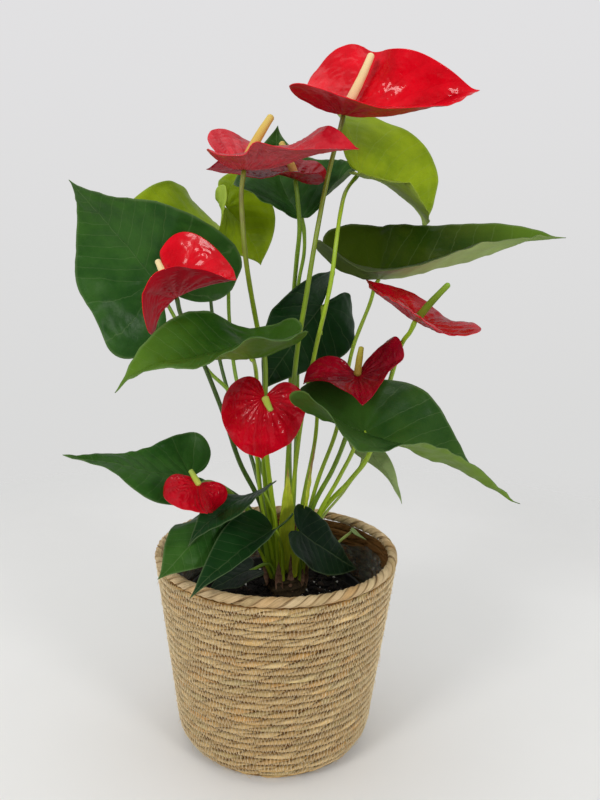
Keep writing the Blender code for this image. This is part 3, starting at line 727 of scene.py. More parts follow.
@dataclass(frozen=True)
class LeafFinish:
    """The leathery, waxed faces of a leaf blade and its thin pale margin."""

    tone: LeafTone
    effects: Effects
    # painted light: the lighter, yellower green that the tips are tinted towards, as if lit through from
    # behind
    backlit_tip: Colour = (0.115, 0.22, 0.012)
    vein_tone: Colour = (0.36, 0.46, 0.22)

    def tissue(self, face: str, deep: Colour, light: Colour, vein: Colour, gloss: float) -> Material:
        """One face of the blade.

        Args:
            face: which face it is.
            deep: its darker green.
            light: its lighter green.
            vein: the colour of its veins.
            gloss: the roughness of its wax.

        Returns:
            The material.
        """
        name = f"leaf_{self.tone.name.lower()}_{face}"
        finish = Finish(name, Coat_Weight=0.07, Coat_Roughness=0.4, Specular_IOR_Level=0.08)
        across, along, lateral, seed = finish.values_of("across", "along", "lateral", "seed")
        ahead, rim = finish.values_of("ahead", "rim")
        veins = finish.group(self.effects.veins, Across=across, Along=along, Lateral=lateral)
        mottle = finish.group(self.effects.mottle, Across=across, Along=along, Seed=seed)
        _, upper, _, backlight, green = self.tone.value
        tone = finish.blend(mottle["Cloud"], deep, light)
        for colour, share, amount in (
            (light, mottle["Grain"], 0.22),
            (deep, veins["Net"], 0.1),
            (vein, veins["Vein"], 0.24),
            (upper, finish.span(ahead, 0.12, -0.05), green),
            # painted backlight: the tip is tinted lighter and yellower towards its end
            (self.backlit_tip, finish.span(ahead, 0.35, 1.0), backlight),
            (vein, finish.span(rim, 0.965, 1.0), 0.3),
        ):
            tone = finish.tint(tone, colour, share, amount)
        relief = finish.scaled(mottle["Grain"], 0.12, veins["Relief"])
        return finish.dress(tone, finish.scaled(mottle["Cloud"], 0.12, gloss), relief, 0.0003, 0.55)

    def materials(self) -> list[Material]:
        """The upper face, the underside and the margin.

        Returns:
            One material for each slot, in order.
        """
        deep, light, under = self.tone.value[:3]
        vein = mixed(light, self.vein_tone, 0.45)
        return [
            self.tissue("upper", deep, light, vein, 0.3),
            self.tissue("under", shaded(under, 0.72), under, shaded(under, 1.25, 0.03), 0.46),
            self.tissue("margin", light, light, vein, 0.4),
        ]


@dataclass(frozen=True)
class SpatheFinish:
    """The lacquered, blistered faces of a spathe."""

    tone: SpatheTone
    effects: Effects
    rib_tone: Colour = (0.75, 0.25, 0.25)

    def wax(self, face: str, colours: tuple[Colour, Colour, Colour], gloss: float, coat: float) -> Material:
        """One face of the spathe.

        Args:
            face: which face it is.
            colours: its darker red, its lighter red and the colour of its veins.
            gloss: the roughness of its wax.
            coat: how much lacquer it has.

        Returns:
            The material.
        """
        name = f"spathe_{self.tone.name.lower()}_{face}"
        finish = Finish(name, Coat_Weight=coat, Coat_Roughness=0.08, Specular_IOR_Level=0.08)
        across, along, lateral, seed = finish.values_of("across", "along", "lateral", "seed")
        flat = {"Across": across, "Along": along}
        cut = {"Thickness": 0.07, "Net_Size": 5, "Midrib": 0.9}
        veins = finish.group(self.effects.veins, Lateral=lateral, **flat, **cut)
        mottle = finish.group(self.effects.mottle, Seed=seed, Cloud=0.05, **flat)
        deep, light, vein = colours
        tone = finish.blend(mottle["Cloud"], deep, light)
        tone = finish.tint(tone, vein, veins["Vein"], 0.09)
        tone = finish.tint(tone, light, mottle["Grain"], 0.12)
        relief = finish.scaled(mottle["Cloud"], 0.2, finish.times(veins["Relief"], 0.5))
        return finish.dress(tone, finish.scaled(mottle["Grain"], 0.1, gloss), relief, 0.0004, 0.5)

    def materials(self) -> list[Material]:
        """The upper face, the underside and the margin.

        Returns:
            One material for each slot, in order.
        """
        deep, light, under = self.tone.value
        return [
            self.wax("upper", (deep, light, shaded(deep, 0.55)), 0.24, 0.32),
            self.wax("under", (shaded(under, 0.8), under, mixed(under, self.rib_tone, 0.15)), 0.38, 0.11),
            self.wax("margin", (light, light, light), 0.3, 0.3),
        ]


@dataclass(frozen=True)
class SpadixFinish:
    """The tiny florets of a spadix, paler on their tops and darker between them, where painted shade fills
    the hollows.
    """

    tone: SpadixTone
    effects: Effects

    def materials(self) -> list[Material]:
        """The finish as one material.

        Returns:
            One material for each slot, in order.
        """
        finish = Finish(f"spadix_{self.tone.name.lower()}", Specular_IOR_Level=0.35)
        foot, middle, tip = self.tone.value
        along, top = finish.values_of("share", "floret")
        pores = finish.group(self.effects.pores, Coarse=500, Fine=2500)
        tone = finish.blend(finish.span(along, 0.05, 0.5), foot, middle)
        tone = finish.blend(finish.span(along, 0.5, 0.95), tone, tip)
        # painted shade: the hollows between the florets are darkened
        tone = finish.tint(tone, shaded(middle, 0.45), finish.span(top, 0.45, 0.0), 0.6)
        tone = finish.tint(tone, tip, pores["Coarse"], 0.18)
        return [finish.dress(tone, finish.span(top, 0.0, 1.0, 0.7, 0.45), pores["Relief"], 0.0002, 0.4)]


@dataclass(frozen=True)
class StalkFinish:
    """A smooth green stalk with faint lengthwise lines, paler at the crown."""

    tone: StalkTone
    effects: Effects
    scar: Colour = (0.16, 0.075, 0.03)

    def materials(self) -> list[Material]:
        """The finish as one material.

        Returns:
            One material for each slot, in order.
        """
        name = f"stalk_{self.tone.name.lower()}"
        finish = Finish(name, Coat_Weight=0.2, Coat_Roughness=0.3, Specular_IOR_Level=0.45)
        low, middle, high = self.tone.value
        share, along, around, seed = finish.values_of("share", "along", "around", "seed")
        lines = finish.group(self.effects.fibre, Along=along, Around=around, Seed=seed, Fineness=7)
        tone = finish.blend(finish.span(share, 0.0, 0.35), low, middle)
        tone = finish.blend(finish.span(share, 0.55, 1.0), tone, high)
        tone = finish.tint(tone, shaded(middle, 1.5, 0.01), lines["Streak"], 0.28)
        tone = finish.tint(tone, low, lines["Slow"], 0.25)
        tone = finish.tint(tone, self.scar, finish.span(share, 0.0, 0.035, 1, 0), 0.75)
        rough = finish.scaled(lines["Streak"], 0.15, 0.34)
        return [finish.dress(tone, rough, lines["Streak"], 0.0002, 0.35)]


@dataclass(frozen=True)
class StrawFinish:
    """Dry twisted seagrass: streaked strands of different tans, with painted shade darkening the grooves
    between them and the gaps at each stitch.
    """

    name: str
    effects: Effects
    light: Colour = (1.0, 0.75, 0.37)
    middle: Colour = (0.82, 0.54, 0.215)
    brown: Colour = (0.44, 0.24, 0.08)
    ochre: Colour = (0.9, 0.47, 0.13)
    sage: Colour = (0.62, 0.56, 0.27)
    # painted shade: the near-black laid into the gaps between rows and at the stitches, and how much of it is
    # used
    gap: Colour = (0.17, 0.072, 0.018)
    gap_shade_share: float = 0.94
    variety: float = 1.0
    streaks: float = 0.5

    def materials(self) -> list[Material]:
        """The finish as one material.

        Returns:
            One material for each slot, in order.
        """
        finish = Finish(self.name, Specular_IOR_Level=0.08)
        strand, along, around = finish.values_of("strand", "along", "around")
        stitch, groove = finish.values_of("stitch", "groove")
        lines = finish.group(self.effects.fibre, Along=along, Around=around, Seed=strand, Fineness=13)
        slow = lines["Slow"]
        tone = finish.blend(finish.span(strand, 0.1, 0.9), self.middle, self.light)
        for turns, low, colour in ((7.3, 0.72, self.ochre), (11.7, 0.76, self.sage), (5.1, 0.8, self.brown)):
            chosen = finish.calc("PINGPONG", finish.times(strand, turns), 1)
            tone = finish.tint(tone, colour, finish.span(chosen, low, low + 0.14), 0.62 * self.variety)
        tone = finish.tint(tone, self.brown, lines["Streak"], self.streaks)
        tone = finish.tint(tone, self.light, slow, 0.35)
        # painted shade: brown, then near-black, deepening into the grooves and into a gap at each stitch
        tooth = finish.calc("PINGPONG", stitch, 0.5)
        stitch_shade = finish.times(tooth, finish.span(slow, 0.3, 0.8, 0.5, 2.8))
        deep = finish.calc("ADD", groove, finish.scaled(slow, 0.5, stitch_shade))
        tone = finish.tint(tone, self.brown, finish.span(deep, 1.2, 2.9), 0.55 * self.gap_shade_share)
        tone = finish.tint(tone, self.gap, finish.span(deep, 2.6, 3.3), self.gap_shade_share)
        return [finish.dress(tone, finish.scaled(lines["Streak"], 0.2, 0.62), lines["Streak"], 0.0006, 0.9)]


@dataclass(frozen=True)
class RoughFinish:
    """A matt, grainy surface of two tones, such as peat, bark, perlite or dry sheath."""

    name: str
    effects: Effects
    dark: Colour
    light: Colour
    coarse: float = 500
    fine: float = 2200
    roughness: float = 0.85
    depth: float = 0.0006

    def materials(self) -> list[Material]:
        """The finish as one material.

        Returns:
            One material for each slot, in order.
        """
        finish = Finish(self.name, Specular_IOR_Level=0.3)
        pores = finish.group(self.effects.pores, Coarse=self.coarse, Fine=self.fine)
        share = finish.scaled(pores["Fine"], 0.4, finish.times(pores["Coarse"], 0.6))
        rough = finish.scaled(pores["Fine"], 0.15, self.roughness - 0.1)
        tone = finish.blend(share, self.dark, self.light)
        return [finish.dress(tone, rough, pores["Relief"], self.depth, 0.8)]


@dataclass(frozen=True)
class PlasticFinish:
    """Satin black moulded plastic with dust on it and fine scuffs."""

    effects: Effects
    black: Colour = (0.008, 0.008, 0.009)
    dust: Colour = (0.1, 0.08, 0.06)

    def materials(self) -> list[Material]:
        """The finish as one material.

        Returns:
            One material for each slot, in order.
        """
        finish = Finish("black_plastic", Specular_IOR_Level=0.5)
        pores = finish.group(self.effects.pores, Coarse=160, Fine=1500)
        tone = finish.tint(self.black, self.dust, finish.span(pores["Coarse"], 0.5, 1.0), 0.25)
        rough = finish.span(pores["Fine"], 0.0, 1.0, 0.38, 0.6)
        return [finish.dress(tone, rough, pores["Relief"], 0.0001, 0.4)]


@dataclass(frozen=True)
class FilmFinish:
    """Clear crumpled film, with painted glints that make it whiter along its creases and its edge."""

    effects: Effects
    clear: Colour = (0.13, 0.135, 0.115)
    white: Colour = (0.62, 0.62, 0.58)

    def materials(self) -> list[Material]:
        """The finish as one material.

        Returns:
            One material for each slot, in order.
        """
        finish = Finish("clear_film", Specular_IOR_Level=0.3, Coat_Weight=0.15, Coat_Roughness=0.12)
        (crease,) = finish.values_of("crease")
        pores = finish.group(self.effects.pores, Coarse=120, Fine=900)
        haze = finish.times(pores["Coarse"], 0.55)
        # painted glints: along its creases the film turns whiter and more opaque
        finish.set(Alpha=finish.calc("ADD", finish.span(crease, 0.6, 1.0, 0.03, 0.45), haze))
        rough = finish.span(pores["Fine"], 0.0, 1.0, 0.08, 0.22)
        tone = finish.blend(crease, self.clear, self.white)
        return [finish.dress(tone, rough, pores["Relief"], 0.0008, 0.5)]


@dataclass(frozen=True)
class SheathFinish:
    """A papery sheath: yellow-green, lined lengthwise, brown and dry towards its tip."""

    name: str
    effects: Effects
    green: Colour = (0.46, 0.62, 0.015)
    lime: Colour = (0.78, 0.86, 0.06)
    dry: Colour = (0.36, 0.19, 0.07)
    dry_from: float = 82.0
    dry_to: float = 108.0

    def materials(self) -> list[Material]:
        """The finish as one material.

        Returns:
            One material for each slot, in order.
        """
        finish = Finish(self.name, Specular_IOR_Level=0.4)
        along, across, seed = finish.values_of("along", "across", "seed")
        lines = finish.group(self.effects.fibre, Along=along, Around=across, Seed=seed, Fineness=1.5)
        dry = finish.span(finish.scaled(lines["Slow"], 25.0, along), self.dry_from, self.dry_to)
        tone = finish.blend(dry, finish.blend(lines["Streak"], self.green, self.lime), self.dry)
        return [finish.dress(tone, finish.scaled(dry, 0.35, 0.4), lines["Streak"], 0.0004, 0.7)]


class Palette:
    """Every material, made when it is first asked for."""

    def __init__(self) -> None:
        """Builds the shared effects."""
        self.effects = Effects()
        self.made: dict[tuple, list[Material]] = {}

    def of(self, finish: type, *given: Enum | str, **colours: Value) -> list[Material]:
        """The materials of a finish.

        Args:
            finish: its class.
            *given: its tone or its name.
            **colours: its other fields.

        Returns:
            One material, or one for each face of a blade.
        """
        key = (finish, *given)
        if key not in self.made:
            self.made[key] = finish(*given, self.effects, **colours).materials()
        return self.made[key]


# --- blades and stalks

RIM_SHARES = (0.955, 0.98, 0.993, 1.0)


@dataclass(frozen=True)
class Blade:
    """A heart-shaped blade's middle surface, in millimetres and degrees, as the design has it.

    Pairs are the left and the right half, looking from foot to tip with the upper face up.
    """

    foot: Point
    tip: Point
    roll: float
    width: float
    lobe: float
    arch: float = 0.0
    droop: float = 0.0
    sway: float = 0.0
    lobe_drop: float = 0.0
    twist: float = 0.0
    fold: Pair = (0, 0)
    tip_fold: Pair = (0, 0)
    curl: Pair = (0, 0)
    lobe_fold: Pair = (0, 0)
    wave: Pair = (0, 0)
    phase: Pair = (0, 0)

    def length(self) -> float:
        """The distance from foot to tip."""
        return float(np.linalg.norm(np.subtract(self.tip, self.foot)))

    def directions(self) -> tuple[Array, Array, Array]:
        """Directions of the blade as a whole.

        Returns:
            Unit vectors from foot to tip, out of the upper face and to the right.
        """
        along = unit(np.subtract(self.tip, self.foot).astype(float))
        heading, rise, roll = math.atan2(along[0], along[1]), math.asin(along[2]), math.radians(self.roll)
        back = -math.sin(rise)
        flat = np.array([back * math.sin(heading), back * math.cos(heading), math.cos(rise)])
        normal = flat * math.cos(roll) + np.cross(along, flat) * math.sin(roll)
        return along, normal, np.cross(along, normal)

    def surface(self, offset: Array, station: Array, keel: float) -> Array:
        """Points of the middle surface.

        Args:
            offset: signed distances from the midrib, plus to the right.
            station: 0 at the foot, 1 at the tip and below 0 on the lobes.
            keel: how wide the rounding along the midrib is.

        Returns:
            Points in millimetres, one a row.
        """
        along, normal, across = self.directions()
        length, half = self.length(), self.width / 2
        foot, tip = np.array(self.foot, float), np.array(self.tip, float)
        aside = across * length * self.sway
        low = foot + along * length * 0.33 + normal * length * self.arch + aside
        high = foot + along * length * 0.67 + normal * length * (self.arch + self.droop) + aside
        ahead = np.clip(station, 0, 1)[:, None]
        rest = 1 - ahead
        line = rest**3 * foot + 3 * rest**2 * ahead * low + 3 * rest * ahead**2 * high + ahead**3 * tip
        slope = unit_rows(rest**2 * (low - foot) + 2 * rest * ahead * (high - low) + ahead**2 * (tip - high))
        first = unit(low - foot)
        first_up = unit(normal - first * (normal @ first))
        lobe_part = np.clip(-station / self.lobe, 0, 1)
        behind = np.minimum(station, 0) * length
        tilt = np.radians(self.lobe_drop) * lobe_part * 0.5
        line = line + (behind * np.cos(tilt))[:, None] * first - (behind * np.sin(tilt))[:, None] * first_up
        up = unit_rows(np.cross(across, slope))
        right = np.cross(slope, up)
        turn = np.radians(self.twist) * ahead
        right, up = right * np.cos(turn) + up * np.sin(turn), up * np.cos(turn) - right * np.sin(turn)
        pairs = (self.fold, self.tip_fold, self.curl, self.lobe_fold, self.wave, self.phase)
        fold, tip_fold, curl, lobe_fold, wave, phase = (np.where(offset >= 0, *pair[::-1]) for pair in pairs)
        distance = np.abs(offset)
        lift = np.radians(fold + (tip_fold - fold) * ahead[:, 0] + lobe_fold * lobe_part)
        bend = np.radians(curl) / half
        straight = np.abs(bend) < 1e-6
        safe_bend = np.where(straight, 1, bend)
        end = lift + bend * distance
        out = np.where(straight, distance * np.cos(lift), (np.sin(end) - np.sin(lift)) / safe_bend)
        raised = np.where(straight, distance * np.sin(lift), (np.cos(lift) - np.cos(end)) / safe_bend)
        rounding = np.sqrt(distance**2 + keel**2) - keel
        raised *= np.where(distance > 1e-6, rounding / np.maximum(distance, 1e-6), 0)
        ruffle = np.sin(TAU * (0.9 * station + phase))
        raised += wave * np.clip(distance / half, 0, 1.2) ** 2 * ruffle
        return line + right * (np.sign(offset) * out)[:, None] + up * raised[:, None]


@dataclass(frozen=True)
class BladeStyle:
    """How a kind of blade is cut and puckered, in millimetres. A leaf, unless a child says otherwise."""

    outline: tuple[Pair, ...] = (
        (0, 1), (0.035, 0.955), (0.1, 0.9), (0.24, 0.8), (0.52, 0.6), (0.82, 0.36), (0.985, 0.12),
        (0.97, -0.35), (0.8, -0.82), (0.52, -1.0), (0.27, -0.82), (0.1, -0.42), (0, 0),
    )
    keel: float = 4.0
    thickness: float = 0.7
    rings: int = 40
    columns: int = 66
    vein_gap: float = 11
    vein_turn: float = 27
    quilt: float = 0.55
    blister: float = 0.0
    margin_ruffle: float = 0.7
    midrib_groove: float = 0.35
    midrib_ridge: float = 0.8
    lean: float = 0.45
    arching: float = 0.35

    def phase(self, offset: Array, ahead: Array, half_width: float, length: float) -> Array:
        """A number that is whole on each side vein. Veins arch to the margin and fan into the lobes.

        Args:
            offset: distances from the midrib.
            ahead: distances from the foot along the midrib.
            half_width: half the blade's width.
            length: the midrib's length.

        Returns:
            One number for each place.
        """
        reach = np.abs(offset)
        arched = ahead - self.arching * reach**2 / half_width
        on_midrib = arched - self.lean * reach
        fan = math.atan(self.lean) - np.arctan2(arched, np.maximum(reach, 1e-4))
        gap = max(self.vein_gap, length / 9)
        return np.where(on_midrib >= 0, on_midrib / gap, -fan / math.radians(self.vein_turn))


@dataclass(frozen=True)
class SpatheStyle(BladeStyle):
    """A spathe, whose veins fan from the foot and bend together again towards the tip."""

    outline: tuple[Pair, ...] = (
        (0, 1), (0.05, 0.955), (0.16, 0.89), (0.38, 0.76), (0.68, 0.54), (0.92, 0.28), (1.0, 0.02),
        (0.93, -0.45), (0.74, -0.88), (0.48, -1.0), (0.24, -0.78), (0.08, -0.35), (0, 0),
    )
    keel: float = 5.0
    thickness: float = 0.9
    rings: int = 46
    columns: int = 92
    vein_turn: float = 17
    quilt: float = 0.4
    blister: float = 0.75
    margin_ruffle: float = 0.35
    midrib_groove: float = 0.5
    midrib_ridge: float = 0.6
    gather: float = 0.75

    def phase(self, offset: Array, ahead: Array, half_width: float, length: float) -> Array:
        """A number that is whole on each of the fanned veins."""
        wide = np.abs(offset) / np.maximum(1 - self.gather * np.clip(ahead / length, 0, 1) ** 2, 0.1)
        return np.degrees(np.arctan2(wide, ahead)) / self.vein_turn


LEAF_STYLE = BladeStyle()
SMALL_LEAF_STYLE = BladeStyle(
    rings=26, columns=44, vein_gap=8, vein_turn=30, quilt=0.35, margin_ruffle=0.5, midrib_groove=0.3,
    midrib_ridge=0.6,
)
SPATHE_STYLE = SpatheStyle()


class BladeMesh:
    """A blade's two faces and its rounded margin, from its middle surface. Millimetres."""

    def __init__(self, blade: Blade, style: BladeStyle, seed: int, level: float) -> None:
        """Plans the flat net of points, fanned out from the foot.

        Args:
            blade: the shape.
            style: how it is cut and puckered.
            seed: what its small irregularities are drawn with.
            level: the height in metres that its millimetres are counted from.
        """
        self.blade, self.style, self.seed, self.level = blade, style, seed, level
        half, length = blade.width / 2, blade.length()
        edge = np.array(style.outline, float)
        edge[edge[:, 1] < 0, 1] *= blade.lobe
        edge = smooth_curve(edge, 600)
        edge = spread_by(run_along(edge * (half, length)), edge, style.columns)[:-1]
        inner = RIM_SHARES[0] * (np.arange(1, style.rings + 1) / (style.rings + 1)) ** 0.9
        shares = np.r_[inner, RIM_SHARES]
        rows, self.numbers = [np.zeros((1, 3))], {}
        for side in (1, -1):
            for column, (across, ahead) in enumerate(edge):
                if (side, column) == (-1, 0):
                    self.numbers[side, column] = self.numbers[1, 0]
                    continue
                self.numbers[side, column] = 1 + (len(rows) - 1) * len(shares) + np.arange(len(shares))
                rows.append(np.outer(shares, (side * max(across, 0) * half, ahead, 1)))
        self.offset, self.station, self.rim = np.vstack(rows).T
        self.ahead = self.station * length
        self.away = np.hypot(self.offset, self.ahead)
        self.phase = style.phase(self.offset, self.ahead, half, length)

    def normals(self) -> tuple[Array, Array]:
        """The middle surface and its upward normals, one a row.

        Returns:
            The points and the normals.
        """
        small = 0.3
        side = np.where(self.offset >= 0, 1.0, -1.0)
        shift = np.where(self.station > 0.97, -1, 1) * small / self.blade.length()
        place, wider, further = (
            self.blade.surface(self.offset + out, self.station + ahead, self.style.keel)
            for out, ahead in ((0, 0), (side * small, 0), (0, shift))
        )
        across, along = (wider - place) * side[:, None], (further - place) * np.sign(shift)[:, None]
        return place, unit_rows(np.cross(across, along))

    def relief(self) -> Array:
        """How far the middle surface is puckered out of its plain shape at each point.

        Returns:
            The heights, one a point.
        """
        draw = np.random.default_rng(self.seed)
        place, style = (self.offset, self.ahead), self.style
        between = np.sin(math.pi * self.phase) ** 2
        fade = ease(self.away, 2, 14) * (1 - 0.7 * ease(self.rim, 0.82, 1.0))
        height = style.quilt * (between - 0.5) * fade
        if style.blister:
            cross = np.sin(math.pi * (self.away / 12 + 1.3 * Ripple(draw, 15).at(*place))) ** 2
            height += style.blister * between * (cross - 0.4) * fade
        height += 0.8 * Ripple(draw, 42).at(*place) * ease(self.away, 4, 30)
        height += 0.12 * Ripple(draw, 7, 9).at(*place) * fade
        return height + Ripple(draw, 15).at(*place) * style.margin_ruffle * ease(self.rim, 0.7, 1.0)

    def outward(self, middle: Array, outer: Array) -> Array:
        """Directions out of the margin, within the blade's surface.

        Args:
            middle: the middle surface.
            outer: the numbers of the margin's points.

        Returns:
            A unit vector for each of the margin's points.
        """
        inner_of = {column[-1]: column[-2] for column in self.numbers.values()}
        away = middle[outer] - middle[[inner_of[number] for number in outer]]
        run = unit_rows(np.gradient(middle[outer], axis=0))
        return unit_rows(away - run * (away * run).sum(axis=1, keepdims=True))

    def add_to(self, draft: Draft, first_slot: int = 0) -> None:
        """Adds the blade to a draft.

        Args:
            draft: where it goes.
            first_slot: the slot of the upper face. The underside's and the margin's follow.
        """
        style, station, phase, numbers = self.style, self.station, self.phase, self.numbers
        place, normal = self.normals()
        middle = place + normal * self.relief()[:, None]
        thin = style.thickness / 2 * (1 - 0.35 * ease(self.rim, 0.9, 1.0))
        on_rib = np.exp(-((self.offset / 1.1) ** 2)) * ease(station, 0.0, 0.04)
        on_rib *= 1 - 0.75 * ease(station, 0.1, 1.0)
        on_vein = np.clip(1 - np.abs(phase - np.round(phase)) / 0.12, 0, 1)
        on_vein *= (1 - ease(self.rim, 0.6, 0.95)) * ease(self.away, 2, 8)
        top = middle + normal * (thin - style.midrib_groove * on_rib - 0.12 * on_vein)[:, None]
        under = middle - normal * (thin + style.midrib_ridge * on_rib + 0.22 * on_vein)[:, None]
        right, left = ([numbers[side, column][-1] for column in range(style.columns - 1)] for side in (1, -1))
        outer = np.array(right[::-1] + left[1:])
        rim = middle[outer] + self.outward(middle, outer) * thin[outer][:, None] * 1.1
        count = len(station)
        face = []
        for side in (1, -1):
            for column in range(style.columns - 2):
                here, after = numbers[side, column], numbers[side, column + 1]
                fan = np.array([[0, here[0], after[0]]])
                quad = np.stack([here[:-1], here[1:], after[1:], after[:-1]], axis=1)
                face.append((fan[:, ::-side], quad[:, ::-side]))
        upper = [np.vstack(patches) for patches in zip(*face)]
        lower = [patch[:, ::-1] + count for patch in upper]
        band = 2 * count + np.arange(len(outer))
        margin = [
            np.stack([outer[:-1], band[:-1], band[1:], outer[1:]], axis=1),
            np.stack([outer[1:] + count, band[1:], band[:-1], outer[:-1] + count], axis=1),
        ]
        for side, end in ((1, 0), (-1, -1)):
            line = np.r_[0, numbers[side, style.columns - 2]]
            quad = np.stack([line[:-1], line[1:], line[1:] + count, line[:-1] + count], axis=1)
            tip = np.array([[outer[end], band[end], outer[end] + count]])
            margin += [quad[:, ::-side], tip[:, ::-side]]
        slots = [first_slot] * 2 + [first_slot + 1] * 2 + [first_slot + 2] * len(margin)
        names = ("across", "along", "lateral", "ahead", "rim")
        columns = (self.offset, self.ahead, phase, station, self.rim)
        values = {name: np.r_[column, column, column[outer]] for name, column in zip(names, columns)}
        points = np.vstack([top, under, rim]) * MM + (0, 0, self.level)
        draft.add(points, [*upper, *lower, *margin], slots, **values, seed=(self.seed * 0.37) % 1.0)


@dataclass(frozen=True)
class Stalk:
    """A petiole or a peduncle, with a sheathing base and a knee under its blade. Millimetres."""

    route: tuple[Point, ...]
    radius: float
    knee_swell: float = 0.22
    knee_length: float = 9.0
    tip_share: float = 0.8
    base_swell: float = 0.45
    points: int = 90
    sides: int = 14

    def add_to(self, draft: Draft, start: Array, end: Array, level: float, slot: int, seed: int) -> None:
        """Adds the stalk to a draft.

        Args:
            draft: where it goes.
            start: where it leaves the crown, in metres.
            end: where it meets its blade, in metres.
            level: the height in metres that its route is counted from.
            slot: its material slot.
            seed: what its small irregularities are drawn with.
        """
        between = np.array(self.route, float) * MM + (0, 0, level)
        line = smooth_curve(np.vstack([start, between, end]), 400)
        line = spread_by(run_along(line), line, self.points)
        length = run_along(line)[-1] / MM
        share = np.linspace(0, 1, self.points)
        from_knee = (1 - share) * length - self.knee_length
        radii = self.radius * MM * (1 + (self.tip_share - 1) * share)
        radii *= 1 + self.base_swell * np.exp(-share * length / 14)
        radii *= 1 + self.knee_swell * np.exp(-((from_knee / (self.knee_length * 0.7)) ** 2))
        draw = np.random.default_rng(seed)
        angle = circle(self.sides)
        ribs = 0.035 * np.sin(3 * angle + draw.uniform(0, TAU))
        lumps = ribs + 0.025 * Ripple(draw, 16).at(share * length, np.zeros(self.points))[:, None]
        values = {
            "share": per_ring(share, self.sides),
            "along": per_ring(share * length, self.sides),
            "around": np.r_[np.tile(np.abs(np.sin(angle / 2)), self.points), 0, 0],
            "seed": (seed * 0.61) % 1.0,
        }
        draft.add_tube(line, radii, self.sides, lumps, slot, **values)


# --- the plant's pieces


@dataclass(frozen=True)
class LeafPlan:
    """Where a leaf is, in the design's millimetres, and how it is coloured."""

    tone: LeafTone
    stalk_tone: StalkTone
    root: Pair
    route: tuple[Point, ...]
    blade: Blade

    @classmethod
    def of(cls, leaf: str, stalk: str, root: Pair, route: tuple[Point, ...], *shape: Value) -> "LeafPlan":
        """The plan in a row: the tones' names, the stalk's root and route, and the blade's fields."""
        return cls(LeafTone[leaf], StalkTone[stalk], root, route, Blade(*shape))


@dataclass(frozen=True)
class FlowerPlan:
    """Where a flower is, in the design's millimetres, and how it is coloured."""

    tone: SpatheTone
    spadix_tone: SpadixTone
    stalk_tone: StalkTone
    spadix_radius: float
    spadix_tip: Point
    root: Pair
    route: tuple[Point, ...]
    blade: Blade

    @classmethod
    def of(cls, spathe: str, spadix: str, stalk: str, *rest: Value) -> "FlowerPlan":
        """The plan in a row: the tones' names, then its other fields, the blade's one by one."""
        return cls(SpatheTone[spathe], SpadixTone[spadix], StalkTone[stalk], *rest[:4], Blade(*rest[4:]))


